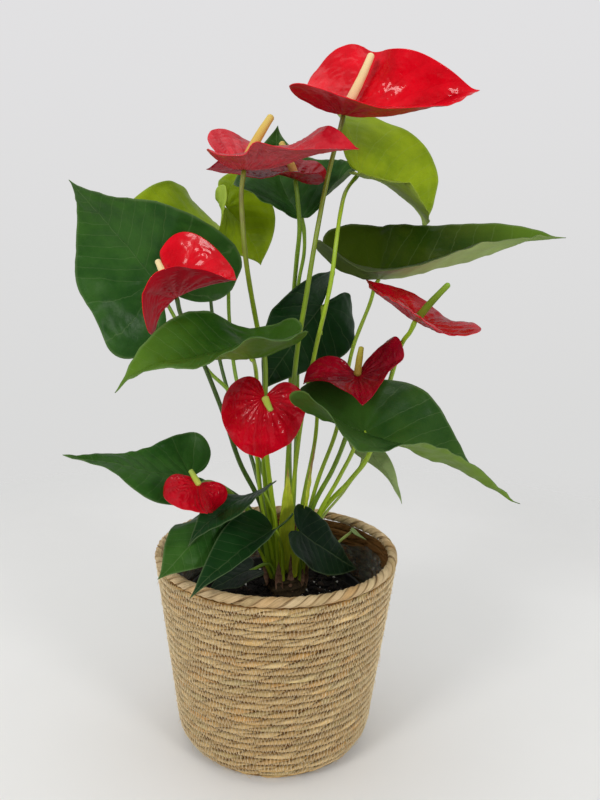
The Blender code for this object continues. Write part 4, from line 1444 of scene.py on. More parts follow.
# Each row: the tones of its parts, a spadix's radius and tip, the stalk's root and route, and the blade's
# fields in order.
FLOWER_ROWS: dict[str, tuple] = {
    "top_right": (
     "BRIGHT", "CREAM", "RUDDY", 3.6, (64, 8, 430), (0, 0), ((7, 14, 79), (9, 9, 141), (13, -1, 204),
     (19, -9, 248), (26, -8, 297), (34, 2, 342)), (44, 2, 386), (145, 6, 406), 25, 132, 0.35, -0.08, 0.1,
     0.12, 5, -20, (30, 40), (75, 35), (15, -20), (-25, 5), (-13, 2)),
    "upper_left": (
     "PINKISH", "YELLOW", "RUDDY", 3.6, (-8, -22, 381), (-5, 0), ((-9, 4, 82), (-12, -9, 137),
     (-11, -9, 169), (-12, -4, 202), (-18, -5, 226), (-25, -34, 277), (-29, -32, 321)), (-28, -28, 343),
     (53, -52, 357), 25, 102, 0.3, -0.1, 0.14, -0.1, 30, -5, (20, 50), (45, 40), (-45, -30), (5, 5),
     (-11, 9), (-0.1, 0)),
    "upper_back": (
     "DARK", "YELLOW", "GREEN", 3.2, (-3, 28, 368), (-2.5, 4.3), ((9, 27, 74), (8, 40, 124), (8, 58, 182),
     (9, 56, 243), (11, 40, 275), (13, 26, 301), (11, 24, 324)), (9, 23, 340), (-59, 11, 346), -10, 74, 0.3,
     0.1, -0.08, 0.08, 10, 20, (15, 20), (0, 35), (-10, 15), (15, 0), (-1, -6)),
    "left": (
     "BRIGHT", "CREAM", "DARK", 3.2, (-96, 0, 276), (-10, 0), ((-13, 14, 70), (-32, 10, 112), (-45, 6, 153),
     (-58, 2, 189), (-67, 0, 210), (-77, -4, 233)), (-79, -16, 249), (-32, -37, 265), 20, 102, 0.4, 0.1,
     -0.12, -0.08, -30, 10, (30, 30), (25, 55), (35, -5), (-25, -35), (8, 4), (0, -0.1)),
    "right": (
     "RICH", "GREEN", "BRIGHT", 2.8, (121, -50, 266), (15, 0), ((34, 16, 63), (60, 13, 98), (75, 10, 123),
     (84, 0, 169), (92, -18, 214), (98, -27, 228)), (101, -32, 237), (66, 4, 264), 20, 88, 0.7, -0.04, 0.04,
     0.04, 10, 10, (20, 30), (10, 35), (-15, -20), (-15, 15), (2, -2), (-0.3, 0)),
    "mid_right": (
     "DARK", "OLIVE", "GREEN", 2.8, (62, -26, 216), (10, 0), ((28, 16, 68), (45, 15, 106), (54, 13, 132),
     (57, 10, 150), (58, 3, 177), (56, -8, 190)), (60, -25, 193), (62, -59, 178), 20, 86, 0.6, -0.02, 0,
     0.02, 0, 25, (15, 30), (45, 55), (20, -45), (-5, 10), (-7, 0), (0.1, -0.3)),
    "centre": (
     "RICH", "LIME", "BRIGHT", 2.6, (-4, -63, 173), (-2.5, -4.3), ((-2, 3, 65), (-7, -10, 108),
     (-10, -24, 141), (-12, -40, 168)), (-9, -56, 181), (-9, -90, 145), 5, 72, 0.35, -0.08, -0.1, 0.06, -15,
     0, (-10, -25), (-20, -25), (-40, 5), (-10, 0), (-9, 5), (-0.3, -0.1)),
    "low_left": (
     "RICH", "LIME", "GREEN", 2.4, (-63, -62, 127), (-12.5, -4.3), ((-14, 6, 57), (-39, -8, 92),
     (-47, -26, 104), (-53, -44, 112)), (-57, -61, 115), (-48, -83, 101), -15, 58, 0.3, -0.02, -0.12, 0.08,
     -5, 10, (-15, -5), (-30, -15), (-30, -65), (20, 5), (4, 1), (0.4, -0.4)),
}
LEAF_ROWS: dict[str, tuple] = {
    "big_left": (
     "DARK", "GREEN", (-7.5, 4.3), ((-14, 24, 75), (-21, 32, 117), (-41, 38, 162), (-62, 42, 183),
     (-82, 46, 212), (-98, 46, 241)), (-106, 38, 258), (-168, 21, 335), 220, 146, 0.45, -0.06, 0, -0.04, -5,
     20, (20, -20), (0, 0), (40, -25), (5, -20), (13, -9), (-0.3, 0.6)),
    "pale_back": (
     "FRESH", "DARK", (-10, 8.7), ((-11, 32, 59), (-26, 54, 106), (-48, 80, 156), (-61, 98, 199),
     (-68, 106, 250)), (-68, 103, 291), (-162, 91, 281), -55, 118, 0.2, 0.16, 0.08, 0.04, 5, 20, (5, -5),
     (0, 40), (-10, -30), (10, -15), (-8, 9), (-0.1, -0.2)),
    "light_back": (
     "FRESH", "GREEN", (-5, 8.7), ((-5, 26, 70), (-24, 42, 123), (-40, 60, 176), (-46, 66, 222),
     (-47, 66, 248), (-48, 67, 281)), (-49, 71, 317), (-20, 80, 270), 60, 92, 0.35, 0.04, 0.06, -0.06, 0,
     -20, (-5, 35), (30, -10), (20, 5), (-25, 35), (-8, 11), (0, -0.4)),
    "dark_back": (
     "DARK", "GREEN", (2.5, 4.3), ((13, 27, 70), (14, 42, 124), (14, 62, 173), (13, 66, 225), (13, 66, 255),
     (17, 64, 280), (17, 60, 297)), (15, 56, 311), (-8, 96, 388), -5, 126, 0.1, -0.14, -0.08, -0.06, -10,
     10, (35, 45), (5, 25), (-15, 5), (0, 25), (5, 2), (0.2, -0.2)),
    "upper_right": (
     "FRESH", "BRIGHT", (2.5, -4.3), ((12, 12, 80), (18, 6, 150), (25, 0, 193), (29, -4, 216),
     (34, -16, 242), (38, -19, 265), (41, -17, 294), (44, -4, 315), (49, 20, 332)), (61, 48, 347),
     (127, 114, 310), 70, 140, 0.3, 0.1, 0.14, -0.06, 30, -25, (0, 55), (35, 15), (-35, 10), (30, -5),
     (13, -4), (-0.5, -0.6)),
    "long_right": (
     "OLIVE", "BRIGHT", (7.5, 4.3), ((31, 22, 86), (47, 28, 134), (54, 32, 175), (60, 36, 207),
     (72, 36, 242), (75, 32, 256)), (77, 21, 264), (230, 40, 300), 10, 108, 0.3, -0.02, 0.12, 0.12, 30, -15,
     (25, 45), (50, 50), (10, -35), (15, 30), (7, -5), (0.3, 0.3)),
    "dark_centre": (
     "DEEP", "BRIGHT", (5, 0), ((21, 22, 76), (30, 34, 126), (32, 46, 167), (34, 52, 205)), (33, 50, 239),
     (-16, 36, 167), -95, 90, 0.3, 0.02, -0.06, 0.02, -15, -15, (0, 25), (15, 0), (-15, 20), (-25, 25),
     (8, -8), (0, -0.2)),
    "centre_left": (
     "MID", "BRIGHT", (-7.5, -4.3), ((-13, 7, 77), (-17, 0, 117), (-18, -12, 150), (-17, -22, 186),
     (-18, -40, 204)), (-19, -62, 211), (-112, -85, 189), -5, 120, 0.4, 0.06, 0.16, 0.06, 25, -5, (45, 0),
     (5, 45), (-55, 35), (10, 5), (-10, -8), (-0.3, 0.3)),
    "lower_right": (
     "BROAD", "BRIGHT", (12.5, -4.3), ((30, 11, 58), (50, 6, 102), (62, 4, 131), (64, 6, 158), (66, 2, 165),
     (68, -16, 162)), (65, -54, 156), (173, -85, 113), 0, 112, 0.5, 0.02, 0.04, -0.04, -15, 20, (40, 20),
     (-5, 30), (30, -20), (-25, 35), (-12, 7), (0.4, -0.2)),
    "low_left": (
     "DARK", "DARK", (-15, 0), ((-20, 11, 66), (-44, 4, 92), (-61, 0, 98)), (-70, -8, 105),
     (-160, -49, 133), -15, 74, 0.2, -0.02, 0.06, -0.06, 10, -10, (-10, 5), (25, 0), (-30, 35), (-25, 25),
     (-10, -8), (-0.2, -0.2)),
}
SMALL_LEAF_ROWS: dict[str, tuple] = {
    "rim_left": (
     "DARK", "BRIGHT", (-11, -8.7), ((-19, 0, 48), (-36, -22, 78)), (-40, -38, 87), (-82, -95, 55), -5, 72,
     0.15, 0.02, -0.02, 0, -5, 10, (-50, -20), (-35, 10), (-15, -5), (-5, -5), (0, -8), (-0.1, 0.1)),
    "tucked": (
     "DEEP", "BRIGHT", (-6.5, -9.5), ((-1, -14, 67), (-7, -34, 95)), (-11, -40, 106), (-64, -71, 71), 20,
     52, 0.15, 0.06, 0.06, 0.04, -10, 20, (10, -5), (-15, 35), (-20, 30), (15, 5), (-3, 11), (-0.3, -0.3)),
    "rim_front": (
     "DEEP", "BRIGHT", (-2.5, -13), ((5, -14, 46), (0, -34, 70)), (-3, -40, 73), (-58, -106, 47), 0, 56,
     0.1, 0.06, 0.04, -0.02, -5, 5, (40, 15), (10, 30), (5, 25), (5, 5), (2, 1), (0.1, -0.1)),
    "soil_right": (
     "SHADED", "GREEN", (11, -11), ((21, -10, 50),), (19, -24, 66), (68, 10, 20), 50, 56, 0.15, 0.04, 0.02,
     0.08, 0, 0, (5, 10), (5, 0), (-5, -5), (0, 0), (3, 3), (-0.1, 0.3)),
    "soil_left": (
     "SHADED", "GREEN", (-7.5, -13), ((-6, -2, 28),), (-22, -6, 24), (-56, -18, 10), 0, 46, 0.2, 0.06,
     -0.02, -0.02, 5, 0, (5, 5), (0, 5), (-5, -5), (0, 0), (-3, -2), (-0.2, 0.1)),
    "hanging": (
     "PALE", "PALE", (12.5, 4.3), ((34, 20, 55), (57, 32, 83), (71, 36, 109)), (62, 35, 130), (105, 25, 74),
     20, 26, 0.2, 0.06, 0.08, -0.04, 0, -20, (35, 25), (15, 20), (15, 10), (5, 5), (-7, 8), (0.2, -0.4)),
}
SPROUT_ROW = (
    "PALE", "PALE", (45, 47), ((49, 48, 22),), (66, 48, 40), (78, 44, 33), 0, 8, 0.15, 0, 0, 0, 0, 0,
    (10, 10)
)
SHEATHS = {"front": ((8, 5, 7), (8, -2, 98)), "right": ((14, 5, 7), (30, 0, 120))}


@dataclass
class Ground:
    """Heights and places that the plant is counted from, read off the frame's solids."""

    crown_radius: float = 0.018
    root_drop: float = 0.0038
    mix_level: float = field(init=False)
    crown_middle: Array = field(init=False)

    def __post_init__(self) -> None:
        """Reads the mix's and the crown's boxes."""
        low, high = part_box("crown")
        self.mix_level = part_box("potting_mix")[1].z
        self.crown_middle = np.array([(low.x + high.x) / 2, (low.y + high.y) / 2, high.z])

    def stalk_start(self, root: Pair) -> Array:
        """Where a stalk leaves the crown, in metres."""
        return self.crown_middle + (root[0] * MM, root[1] * MM, -self.root_drop)

    def place(self, point: Point) -> Array:
        """A point of the design, in metres."""
        return np.array(point, float) * MM + (0, 0, self.mix_level)

    def off_foot(self, blade: Blade, away: float) -> Array:
        """The point this many millimetres above a blade's foot, in metres."""
        return self.place(blade.foot) + blade.directions()[1] * away * MM


@dataclass(frozen=True)
class Spadix:
    """The finger of a flower, set all over with florets in crossing spirals. Millimetres."""

    radius: float
    florets_around: int = 15
    floret_length: float = 1.5
    relief: float = 0.26
    samples: int = 5

    def add_to(self, draft: Draft, start: Array, tip: Array, seed: int) -> None:
        """Adds the finger to a draft.

        Args:
            draft: where it goes.
            start: its foot, in metres.
            tip: its tip, in metres.
            seed: the number that its bend is drawn with.
        """
        draw = np.random.default_rng(seed)
        length = float(np.linalg.norm(tip - start)) / MM
        rows = int(length / self.floret_length * self.samples)
        sides = self.florets_around * self.samples
        share = np.linspace(0, 1, rows)
        aside = unit(np.cross(tip - start, draw.normal(size=3)))
        bow = np.outer(np.sin(math.pi * share) * 0.022 * length * MM, aside)
        body = (0.82 + 0.18 * ease(share, 0.0, 0.05)) * (1 - 0.3 * share**1.6)
        dome = np.sqrt(np.clip(1 - np.clip((share - 0.95) / 0.05, 0, 1) ** 2, 0.02, 1))
        turn = np.arange(sides) / self.samples
        climb = (share * length / self.floret_length / 2)[:, None]
        rise, fall = (np.abs(np.sin(math.pi * (turn + way * climb))) for way in (1, -1))
        floret = np.sqrt(rise * fall)
        uneven = 0.02 * Ripple(draw, 9).at(share * length, np.zeros(rows))[:, None]
        lumps = (floret - 0.6) * self.relief / self.radius + uneven
        values = {"share": per_ring(share, sides), "floret": np.r_[floret.ravel(), 0.5, 0.8]}
        line = start + (tip - start) * share[:, None] + bow
        draft.add_tube(line, self.radius * MM * body * dome, sides, lumps, **values)


@dataclass(frozen=True)
class Sprig:
    """What a flower and a leaf have in common. The radius of the stalk is in millimetres."""

    name: str
    plan: FlowerPlan | LeafPlan
    ground: Ground
    palette: Palette
    seed: int
    stalk_radius: float = 1.9

    def blade_draft(self, style: BladeStyle) -> Draft:
        """A draft that holds the blade.

        Args:
            style: how the blade is finished off.

        Returns:
            The draft.
        """
        draft = Draft()
        BladeMesh(self.plan.blade, style, self.seed, self.ground.mix_level).add_to(draft)
        return draft

    def start(self) -> Array:
        """Where the stalk leaves the crown, in metres."""
        return self.ground.stalk_start(self.plan.root)

    def add_stalk(self, draft: Draft, slot: int, sink: float, *knee: float) -> None:
        """Adds the stalk to a draft.

        Args:
            draft: where it goes.
            slot: its material slot.
            sink: how far below the blade's foot it ends, as a share of its radius.
            *knee: the swell and the length of its knee, where they differ from a leaf's.
        """
        end = self.ground.off_foot(self.plan.blade, -self.stalk_radius * sink)
        stalk = Stalk(self.plan.route, self.stalk_radius, *knee)
        stalk.add_to(draft, self.start(), end, self.ground.mix_level, slot, self.seed)

    def stalk_finish(self) -> list[Material]:
        """The material of the stalk."""
        return self.palette.of(StalkFinish, self.plan.stalk_tone)


@dataclass(frozen=True)
class Flower(Sprig):
    """A spathe, its spadix and its peduncle."""

    stalk_radius: float = 2.2

    def build(self) -> None:
        """Makes the spathe, the spadix on its foot and the peduncle from the crown to its back."""
        node = f"flower_{self.name}"
        spathe = self.blade_draft(SPATHE_STYLE)
        finishes = self.palette.of(SpatheFinish, self.plan.tone)
        spathe.piece(f"spathe_{self.name}", finishes, "spathe_red", f"{node}_spathe")
        spadix, radius = Draft(), self.plan.spadix_radius
        start = self.ground.off_foot(self.plan.blade, radius * 0.35)
        Spadix(radius).add_to(spadix, start, self.ground.place(self.plan.spadix_tip), self.seed)
        finishes = self.palette.of(SpadixFinish, self.plan.spadix_tone)
        spadix.piece(f"spadix_{self.name}", finishes, "spadix", f"{node}_spadix")
        peduncle = Draft()
        self.add_stalk(peduncle, 0, 0.5, 0.12, 3)
        peduncle.piece(f"peduncle_{self.name}", self.stalk_finish(), "peduncle_green", f"{node}_peduncle")


LIGHT_LEAVES = ("pale_back", "light_back", "upper_right", "hanging")


@dataclass(frozen=True)
class Leaf(Sprig):
    """A leaf blade and its petiole."""

    sink: float = 0.45

    def slot(self) -> str:
        """The record's material slot of its blade."""
        return "leaf_light" if self.name in LIGHT_LEAVES else "leaf_dark"

    def build(self) -> None:
        """Makes the blade and the petiole."""
        blade, petiole, node = self.blade_draft(LEAF_STYLE), Draft(), f"leaf_{self.name}"
        finishes = self.palette.of(LeafFinish, self.plan.tone)
        blade.piece(f"blade_{self.name}", finishes, self.slot(), f"{node}_blade")
        self.add_stalk(petiole, 0, self.sink)
        petiole.piece(f"petiole_{self.name}", self.stalk_finish(), "petiole_green", f"{node}_petiole")


@dataclass(frozen=True)
class SmallLeaf(Leaf):
    """A small leaf, whose blade and petiole are one piece."""

    stalk_radius: float = 1.3

    def build(self) -> None:
        """Makes the small leaf."""
        self.build_as(f"small_leaf_{self.name}", self.slot(), f"leaf_{self.name}")

    def build_as(self, piece: str, slot: str, node: str) -> None:
        """Makes the leaf under this name.

        Args:
            piece: the piece's name.
            slot: the record's material slot.
            node: the solid that it stands for.
        """
        draft = self.blade_draft(SMALL_LEAF_STYLE)
        self.add_stalk(draft, 3, self.sink)
        draft.piece(piece, self.palette.of(LeafFinish, self.plan.tone) + self.stalk_finish(), slot, node)


@dataclass(frozen=True)
class Seedling(SmallLeaf):
    """The pale seedling that grows out of the mix at the pot's edge."""

    def start(self) -> Array:
        """Where its stem comes out of the mix, in metres."""
        return self.ground.place((*self.plan.root, -3.0))

    def build(self) -> None:
        """Makes the seedling."""
        self.build_as("seedling", "sprout_green", "sprout")


@dataclass(frozen=True)
class CrownKnot:
    """The knotty stem at the mix, the sheaths on it and the remains of older ones."""

    ground: Ground
    palette: Palette
    sides: int = 96
    rows: int = 40
    sheath_width: float = 21.0
    # Degrees round the crown, millimetres out from it, height, lean outwards and half width.
    old_strips: tuple[tuple[float, ...], ...] = (
        (250, 15.5, 24, 3, 5.0), (285, 16.5, 30, -2, 4.0), (315, 15.0, 17, 5, 5.5), (205, 15.5, 20, 6, 4.5),
        (345, 16.0, 26, 2, 4.0), (30, 15.5, 18, 5, 5.0), (95, 16.0, 22, 3, 5.0), (150, 15.5, 16, 6, 4.5),
    )

    def knot_rings(self) -> Array:
        """Rings of points of the stem, with its leaf scars, about its own axis.

        Returns:
            The rings, each a row of points.
        """
        low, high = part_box("crown")
        rise = np.linspace(0, 1, self.rows)
        profile = np.interp(rise, (0, 0.05, 0.5, 0.8, 0.94, 1.0), (0.9, 1, 0.97, 0.9, 0.7, 0.02))
        levels = (low.z - 0.003, high.z - 0.002, high.z, high.z + 0.001)
        height = np.interp(rise, (0, 0.75, 0.94, 1.0), levels)
        angle = circle(self.sides)
        rings = 0.05 * np.sin(TAU * (3.2 * rise[:, None] + 0.25 * np.sin(2 * angle)))
        lumps = 0.05 * np.sin(5 * angle + 0.8 * np.sin(3 * angle))
        grain = Ripple(np.random.default_rng(41), 0.25).at(*np.meshgrid(rise, angle, indexing="ij")) * 0.03
        uneven = 1 + (rings + lumps + grain) * np.clip((1 - rise) * 6, 0, 1)[:, None]
        return polar(self.ground.crown_radius * profile[:, None] * uneven, angle, height[:, None])

    def build_knot(self) -> None:
        """Makes the stem and the dry strips round it."""
        draft = Draft()
        middle = self.ground.crown_middle * (1, 1, 0)
        draft.add_turned(self.knot_rings() + middle, middle[:2])
        for number, (degrees, away, tall, lean, half_width) in enumerate(self.old_strips):
            turn = math.radians(degrees)
            out = np.array([math.cos(turn), math.sin(turn), 0])
            base = middle / MM + out * away + (0, 0, -8)
            tip = base + out * lean + (0, 0, tall)
            strip = Blade(base, tip, 90 - degrees, half_width * 2, 0.1, 0.05, fold=(35, 30), curl=(40, 50))
            BladeMesh(strip, SMALL_LEAF_STYLE, 60 + number, self.ground.crown_middle[2]).add_to(draft, 1)
        effects = self.palette.effects
        # the bark is painted darker than its own brown: partly painted shade of the deep pot
        bark = RoughFinish("crown_bark", effects, (0.016, 0.01, 0.005), (0.085, 0.055, 0.022)).materials()
        dry = RoughFinish("old_sheath", effects, (0.09, 0.028, 0.016), (0.4, 0.24, 0.14), 300).materials()
        draft.piece("crown_knot", bark + dry * 3, "crown_bark", "crown")

    def build_sheaths(self) -> None:
        """Makes the two tall sheaths that stand between the stalks."""
        for number, (name, ends) in enumerate(SHEATHS.items()):
            draft = Draft()
            blade = Blade(*ends, 180, self.sheath_width, 0.05, fold=(38, 38), curl=(30, 30))
            BladeMesh(blade, SMALL_LEAF_STYLE, 80 + number, self.ground.crown_middle[2]).add_to(draft)
            paper = self.palette.of(SheathFinish, f"sheath_{name}")
            draft.piece(f"sheath_strip_{name}", paper * 3, "sheath", f"sheath_{name}")


# --- the basket and what it holds


class CoiledBasket:
    """A round basket of twisted seagrass coils, sewn together with a zigzag of thin thread. Metres."""

    wall = 0.005
    foot_rounding = 0.014
    look_rounding = 0.021
    rows = 25
    steps = 300
    sides = 8
    plies = 2
    twist_length = 0.04
    ply_orbit = (0.0012, 0.0015)
    ply_half = (0.0014, 0.0023)
    core_half = (0.0004, 0.0036)
    stitch = 0.0029
    points_a_stitch = 4
    thread_radius = 0.00027
    thread_sides = 3
    loose_ends = 1500

    def __init__(self, palette: Palette) -> None:
        """Reads the wall's height and radii off the frame's basket.

        Args:
            palette: the materials.
        """
        self.palette = palette
        self.draw = np.random.default_rng(7)
        low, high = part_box("basket")
        self.top, top_radius = high.z, (high.x - low.x) / 2
        radius, level = outline_of("basket")
        shares = level / self.foot_rounding
        above_foot = level[(shares > 0.5) & (shares < 1.2)].max()
        there = radius[np.abs(level - above_foot) < 0.0005].max()
        self.base_radius = float(there - (top_radius - there) * above_foot / (self.top - above_foot))
        self.slope = (top_radius - self.base_radius) / self.top
        self.pitch = (self.top - 0.0004) / self.rows

    def radius_at(self, height: Array) -> Array:
        """The wall's outer radius, rounded in towards the foot.

        Args:
            height: heights above the floor in metres.

        Returns:
            Radii in metres.
        """
        below = np.clip(self.look_rounding - height, 0, self.look_rounding)
        inset = self.look_rounding - np.sqrt(self.look_rounding**2 - below**2)
        return self.base_radius + self.slope * height - inset

    def stitches(self, radius: float) -> int:
        """How many stitches go round a row of this radius."""
        return int(TAU * radius / self.stitch)

    def add_coil(self, draft: Draft, radius: float, height: float, number: int, flat: bool = False) -> None:
        """Adds one ring of coil, of two twisted plies.

        Args:
            draft: where it goes.
            radius: the ring's outer radius, or its middle radius on the floor.
            height: the height of its middle.
            number: its number, for its own irregularities.
            flat: whether it lies on the floor, beside its neighbours.
        """
        angle = (circle(self.steps) + TAU / 4)[:, None]
        side = circle(self.sides)
        swing, wander = Ripple(self.draw, 0.7), Ripple(self.draw, 0.5)
        sink, lift = 0.0004 * swing.round(angle, number), 0.0003 * wander.round(angle, -number)
        turns = max(1, round(TAU * radius / self.twist_length))
        start = self.draw.uniform(0, TAU)
        uneven = 0.55 * Ripple(self.draw, 0.4).round(angle)
        middle = radius - (0 if flat else self.wall / 2 + 0.0001)
        for ply in range(self.plies):
            turn = turns * angle + start + uneven + ply * TAU / self.plies
            fat = 1 + 0.1 * Ripple(self.draw, 0.3).round(angle)
            thick, wide = np.cos(side) * self.ply_half[0] * fat, np.sin(side) * self.ply_half[1] * fat
            out = np.cos(turn) * (self.ply_orbit[0] + thick) - wide * np.sin(turn)
            up = np.sin(turn) * (self.ply_orbit[1] + thick * 1.05) + wide * np.cos(turn) * 1.05
            reach = middle + sink + out
            tints = self.draw.uniform(0, 1, turns + 3)
            lens = np.floor((turn[:, 0] - start - ply * math.pi + math.pi) / TAU + 1).astype(int) % len(tints)
            envelope = np.abs(out if flat else up) - 0.5 * self.pitch
            depth = self.wall - up if flat else radius - reach
            points = polar(reach, angle, np.maximum(height + lift + up, 0.0002))
            around = np.abs((side + turn) / TAU % 1 - 0.5) * 2
            # painted shade: darker the further a point lies below the row's outer face and past the row's
            # edge
            groove = depth / MM + 1.6 * np.clip(envelope / MM + 0.7, 0, None)
            stitch = angle * self.stitches(radius) / TAU
            draft.add_strand(points, tints[lens][:, None], angle * radius / MM, around, groove, stitch)

    def add_shade_core(self, draft: Draft, radius: float, height: float) -> None:
        """Adds a flat strand in the middle of a row, behind its plies, coloured all through as painted shade
        so that the gaps between the plies look dark.

        Args:
            draft: where it goes.
            radius: the row's outer radius.
            height: the height of its middle.
        """
        angle = (circle(self.steps) + TAU / 4)[:, None]
        uneven = 1 + 0.12 * Ripple(self.draw, 0.25).round(angle)
        out, up = np.array([(1, -1), (1, 1), (-1, 1), (-1, -1)]).T
        reach = radius - self.wall / 2 - 0.0003 + out * self.core_half[0]
        level = np.maximum(height + up * self.core_half[1] * uneven, 0.0003)
        # painted shade: a groove value of 2.9 gives the whole strand the near-black gap colour
        draft.add_strand(polar(reach, angle, level), 0.1, 0.0, 0.5, 2.9, 0.0)

    def build_weave(self) -> None:
        """Makes the coils of the wall and of the floor."""
        draft = Draft()
        for row in range(self.rows):
            height = self.pitch * (row + 0.5)
            self.add_coil(draft, float(self.radius_at(height)), height, row)
            self.add_shade_core(draft, float(self.radius_at(height)), height)
        floor_radius = float(self.radius_at(self.pitch * 0.5)) - self.wall - 0.001
        for ring in range(int(floor_radius / self.pitch)):
            radius = floor_radius - self.pitch * (ring + 0.35)
            self.add_coil(draft, radius, self.wall / 2 + 0.0006, 50 + ring, True)
        draft.piece("basket_weave", self.palette.of(StrawFinish, "seagrass"), "seagrass", "basket")

    def build_thread(self) -> None:
        """Makes the zigzag of thread over every row."""
        draft = Draft()
        for row in range(self.rows):
            height = self.pitch * (row + 0.5)
            count = self.stitches(float(self.radius_at(height)))
            place = np.arange(count * self.points_a_stitch) / self.points_a_stitch
            rise = np.abs(((place % 1) * 2) - 1) * 2 - 1
            jitter = self.draw.normal(0, 0.1, len(place))
            up = (rise * 0.54 + jitter * 0.35) * self.pitch
            bulge = 0.0006 - 0.0007 * np.abs(rise) ** 3 + 0.00016 * self.draw.normal(size=len(place))
            reach = self.radius_at(np.clip(height + up, 0.0004, self.top)) + bulge
            angle = place / count * TAU + TAU / 4 + jitter * self.stitch * 0.6 / reach
            self.add_loop(draft, polar(reach, angle, np.clip(height + up, 0.0006, self.top)))
        cream = (0.72, 0.56, 0.32), (1.0, 0.86, 0.58)
        finish = RoughFinish("thread", self.palette.effects, *cream, 900, 4000, 0.8, 0.0002)
        draft.piece("basket_thread", finish.materials(), "seagrass")

    def add_loop(self, draft: Draft, line: Array) -> None:
        """Adds a closed ring of thread along a line.

        Args:
            draft: where it goes.
            line: the points of the loop.
        """
        forward = unit_rows(np.roll(line, -1, axis=0) - np.roll(line, 1, axis=0))
        across = unit_rows(np.cross(forward, unit_rows(line * (1, 1, 0))))
        ring = round_line(across, np.cross(across, forward), self.thread_sides)
        draft.add_ring(line[:, None, :] + ring * self.thread_radius, flip=True)

    def build_loose_ends(self) -> None:
        """Makes the fine frayed fibres that stand off the wall."""
        draft = Draft()
        steps = np.linspace(0, 1, 5)[:, None]
        for _ in range(self.loose_ends):
            height = self.draw.uniform(0.004, self.top - 0.002)
            angle = self.draw.uniform(0, TAU)
            out = np.array([math.cos(angle), math.sin(angle), 0])
            along = np.array([-out[1], out[0], 0]) * self.draw.choice((-1, 1))
            length = self.draw.uniform(0.004, 0.011)
            lean = along * self.draw.uniform(0.5, 1) + (0, 0, self.draw.normal(0, 0.45))
            off = out * self.draw.uniform(0.1, 0.32)
            base = out * (float(self.radius_at(height)) - 0.0006) + (0, 0, height)
            line = base + lean * length * steps + off * length * np.sin(steps * math.pi * 0.62)
            line[:, 2] = np.clip(line[:, 2], 0.0004, None)
            radii = np.linspace(0.00016, 0.00005, len(steps))
            strand, place = self.draw.uniform(0, 1), self.draw.uniform(0, 90)
            draft.add_tube(line, radii, 3, strand=strand, along=place, around=0.5)
        straw = self.palette.of(StrawFinish, "frayed_seagrass", light=(0.8, 0.64, 0.4), gap_shade_share=0.0)
        draft.piece("basket_loose_ends", straw, "seagrass")


class RimRope:
    """The twisted rope of flat straps round the basket's rim. Metres."""

    plies = 3
    steps = 420
    sides = 14
    twist_length = 0.031
    orbit = 0.0022
    half = (0.0014, 0.003)
    squareness = 0.75

    def __init__(self, palette: Palette) -> None:
        """Reads the rope's ring off the frame's braid.

        Args:
            palette: gives out the finishes.
        """
        low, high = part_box("rim_braid")
        self.palette = palette
        self.height = (high.z + low.z) / 2
        self.radius = (high.x - low.x) / 2 - (high.z - low.z) / 2

    def build(self) -> None:
        """Makes the rope."""
        draw = np.random.default_rng(23)
        draft = Draft()
        angle = circle(self.steps)[:, None]
        side = circle(self.sides)
        turns = round(TAU * self.radius / self.twist_length)
        square = [np.sign(wave) * np.abs(wave) ** self.squareness for wave in (np.cos(side), np.sin(side))]
        crease = 1 - 0.1 * np.cos(side * 5)
        edge, inner_shade = ease(np.abs(np.sin(side)), 0.86, 1.0), np.clip(-np.cos(side), 0, 1)
        for ply in range(self.plies):
            turn = turns * angle + ply * TAU / self.plies + 0.25 * Ripple(draw, 0.8).round(angle)
            fat = 1 + 0.09 * Ripple(draw, 0.35).round(angle)
            thick, wide = (shape * half * fat for shape, half in zip(square, self.half))
            reach = self.radius + (self.orbit + thick * crease) * np.cos(turn) - wide * np.sin(turn)
            up = (self.orbit + thick * crease) * np.sin(turn) + wide * np.cos(turn)
            tints = draw.uniform(0.2, 1, turns + 2)
            lens = np.floor(turn[:, 0] / TAU + 0.5).astype(int) % len(tints)
            points, around = polar(reach, angle, self.height + up), np.abs(np.sin(side / 2))
            # painted shade: the straps' edges and their faces turned in towards the rope's middle are
            # darkened
            groove = 2.4 * edge + 2.5 * inner_shade
            draft.add_strand(points, tints[lens][:, None], angle * self.radius / MM, around, groove, 0.0)
        colours = {"light": (1.0, 0.78, 0.47), "middle": (0.8, 0.58, 0.31), "brown": (0.46, 0.28, 0.12)}
        straw = self.palette.of(StrawFinish, "seagrass_braid", **colours, variety=0.75, streaks=0.65)
        draft.piece("rim_rope", straw, "seagrass_braid", "rim_braid")


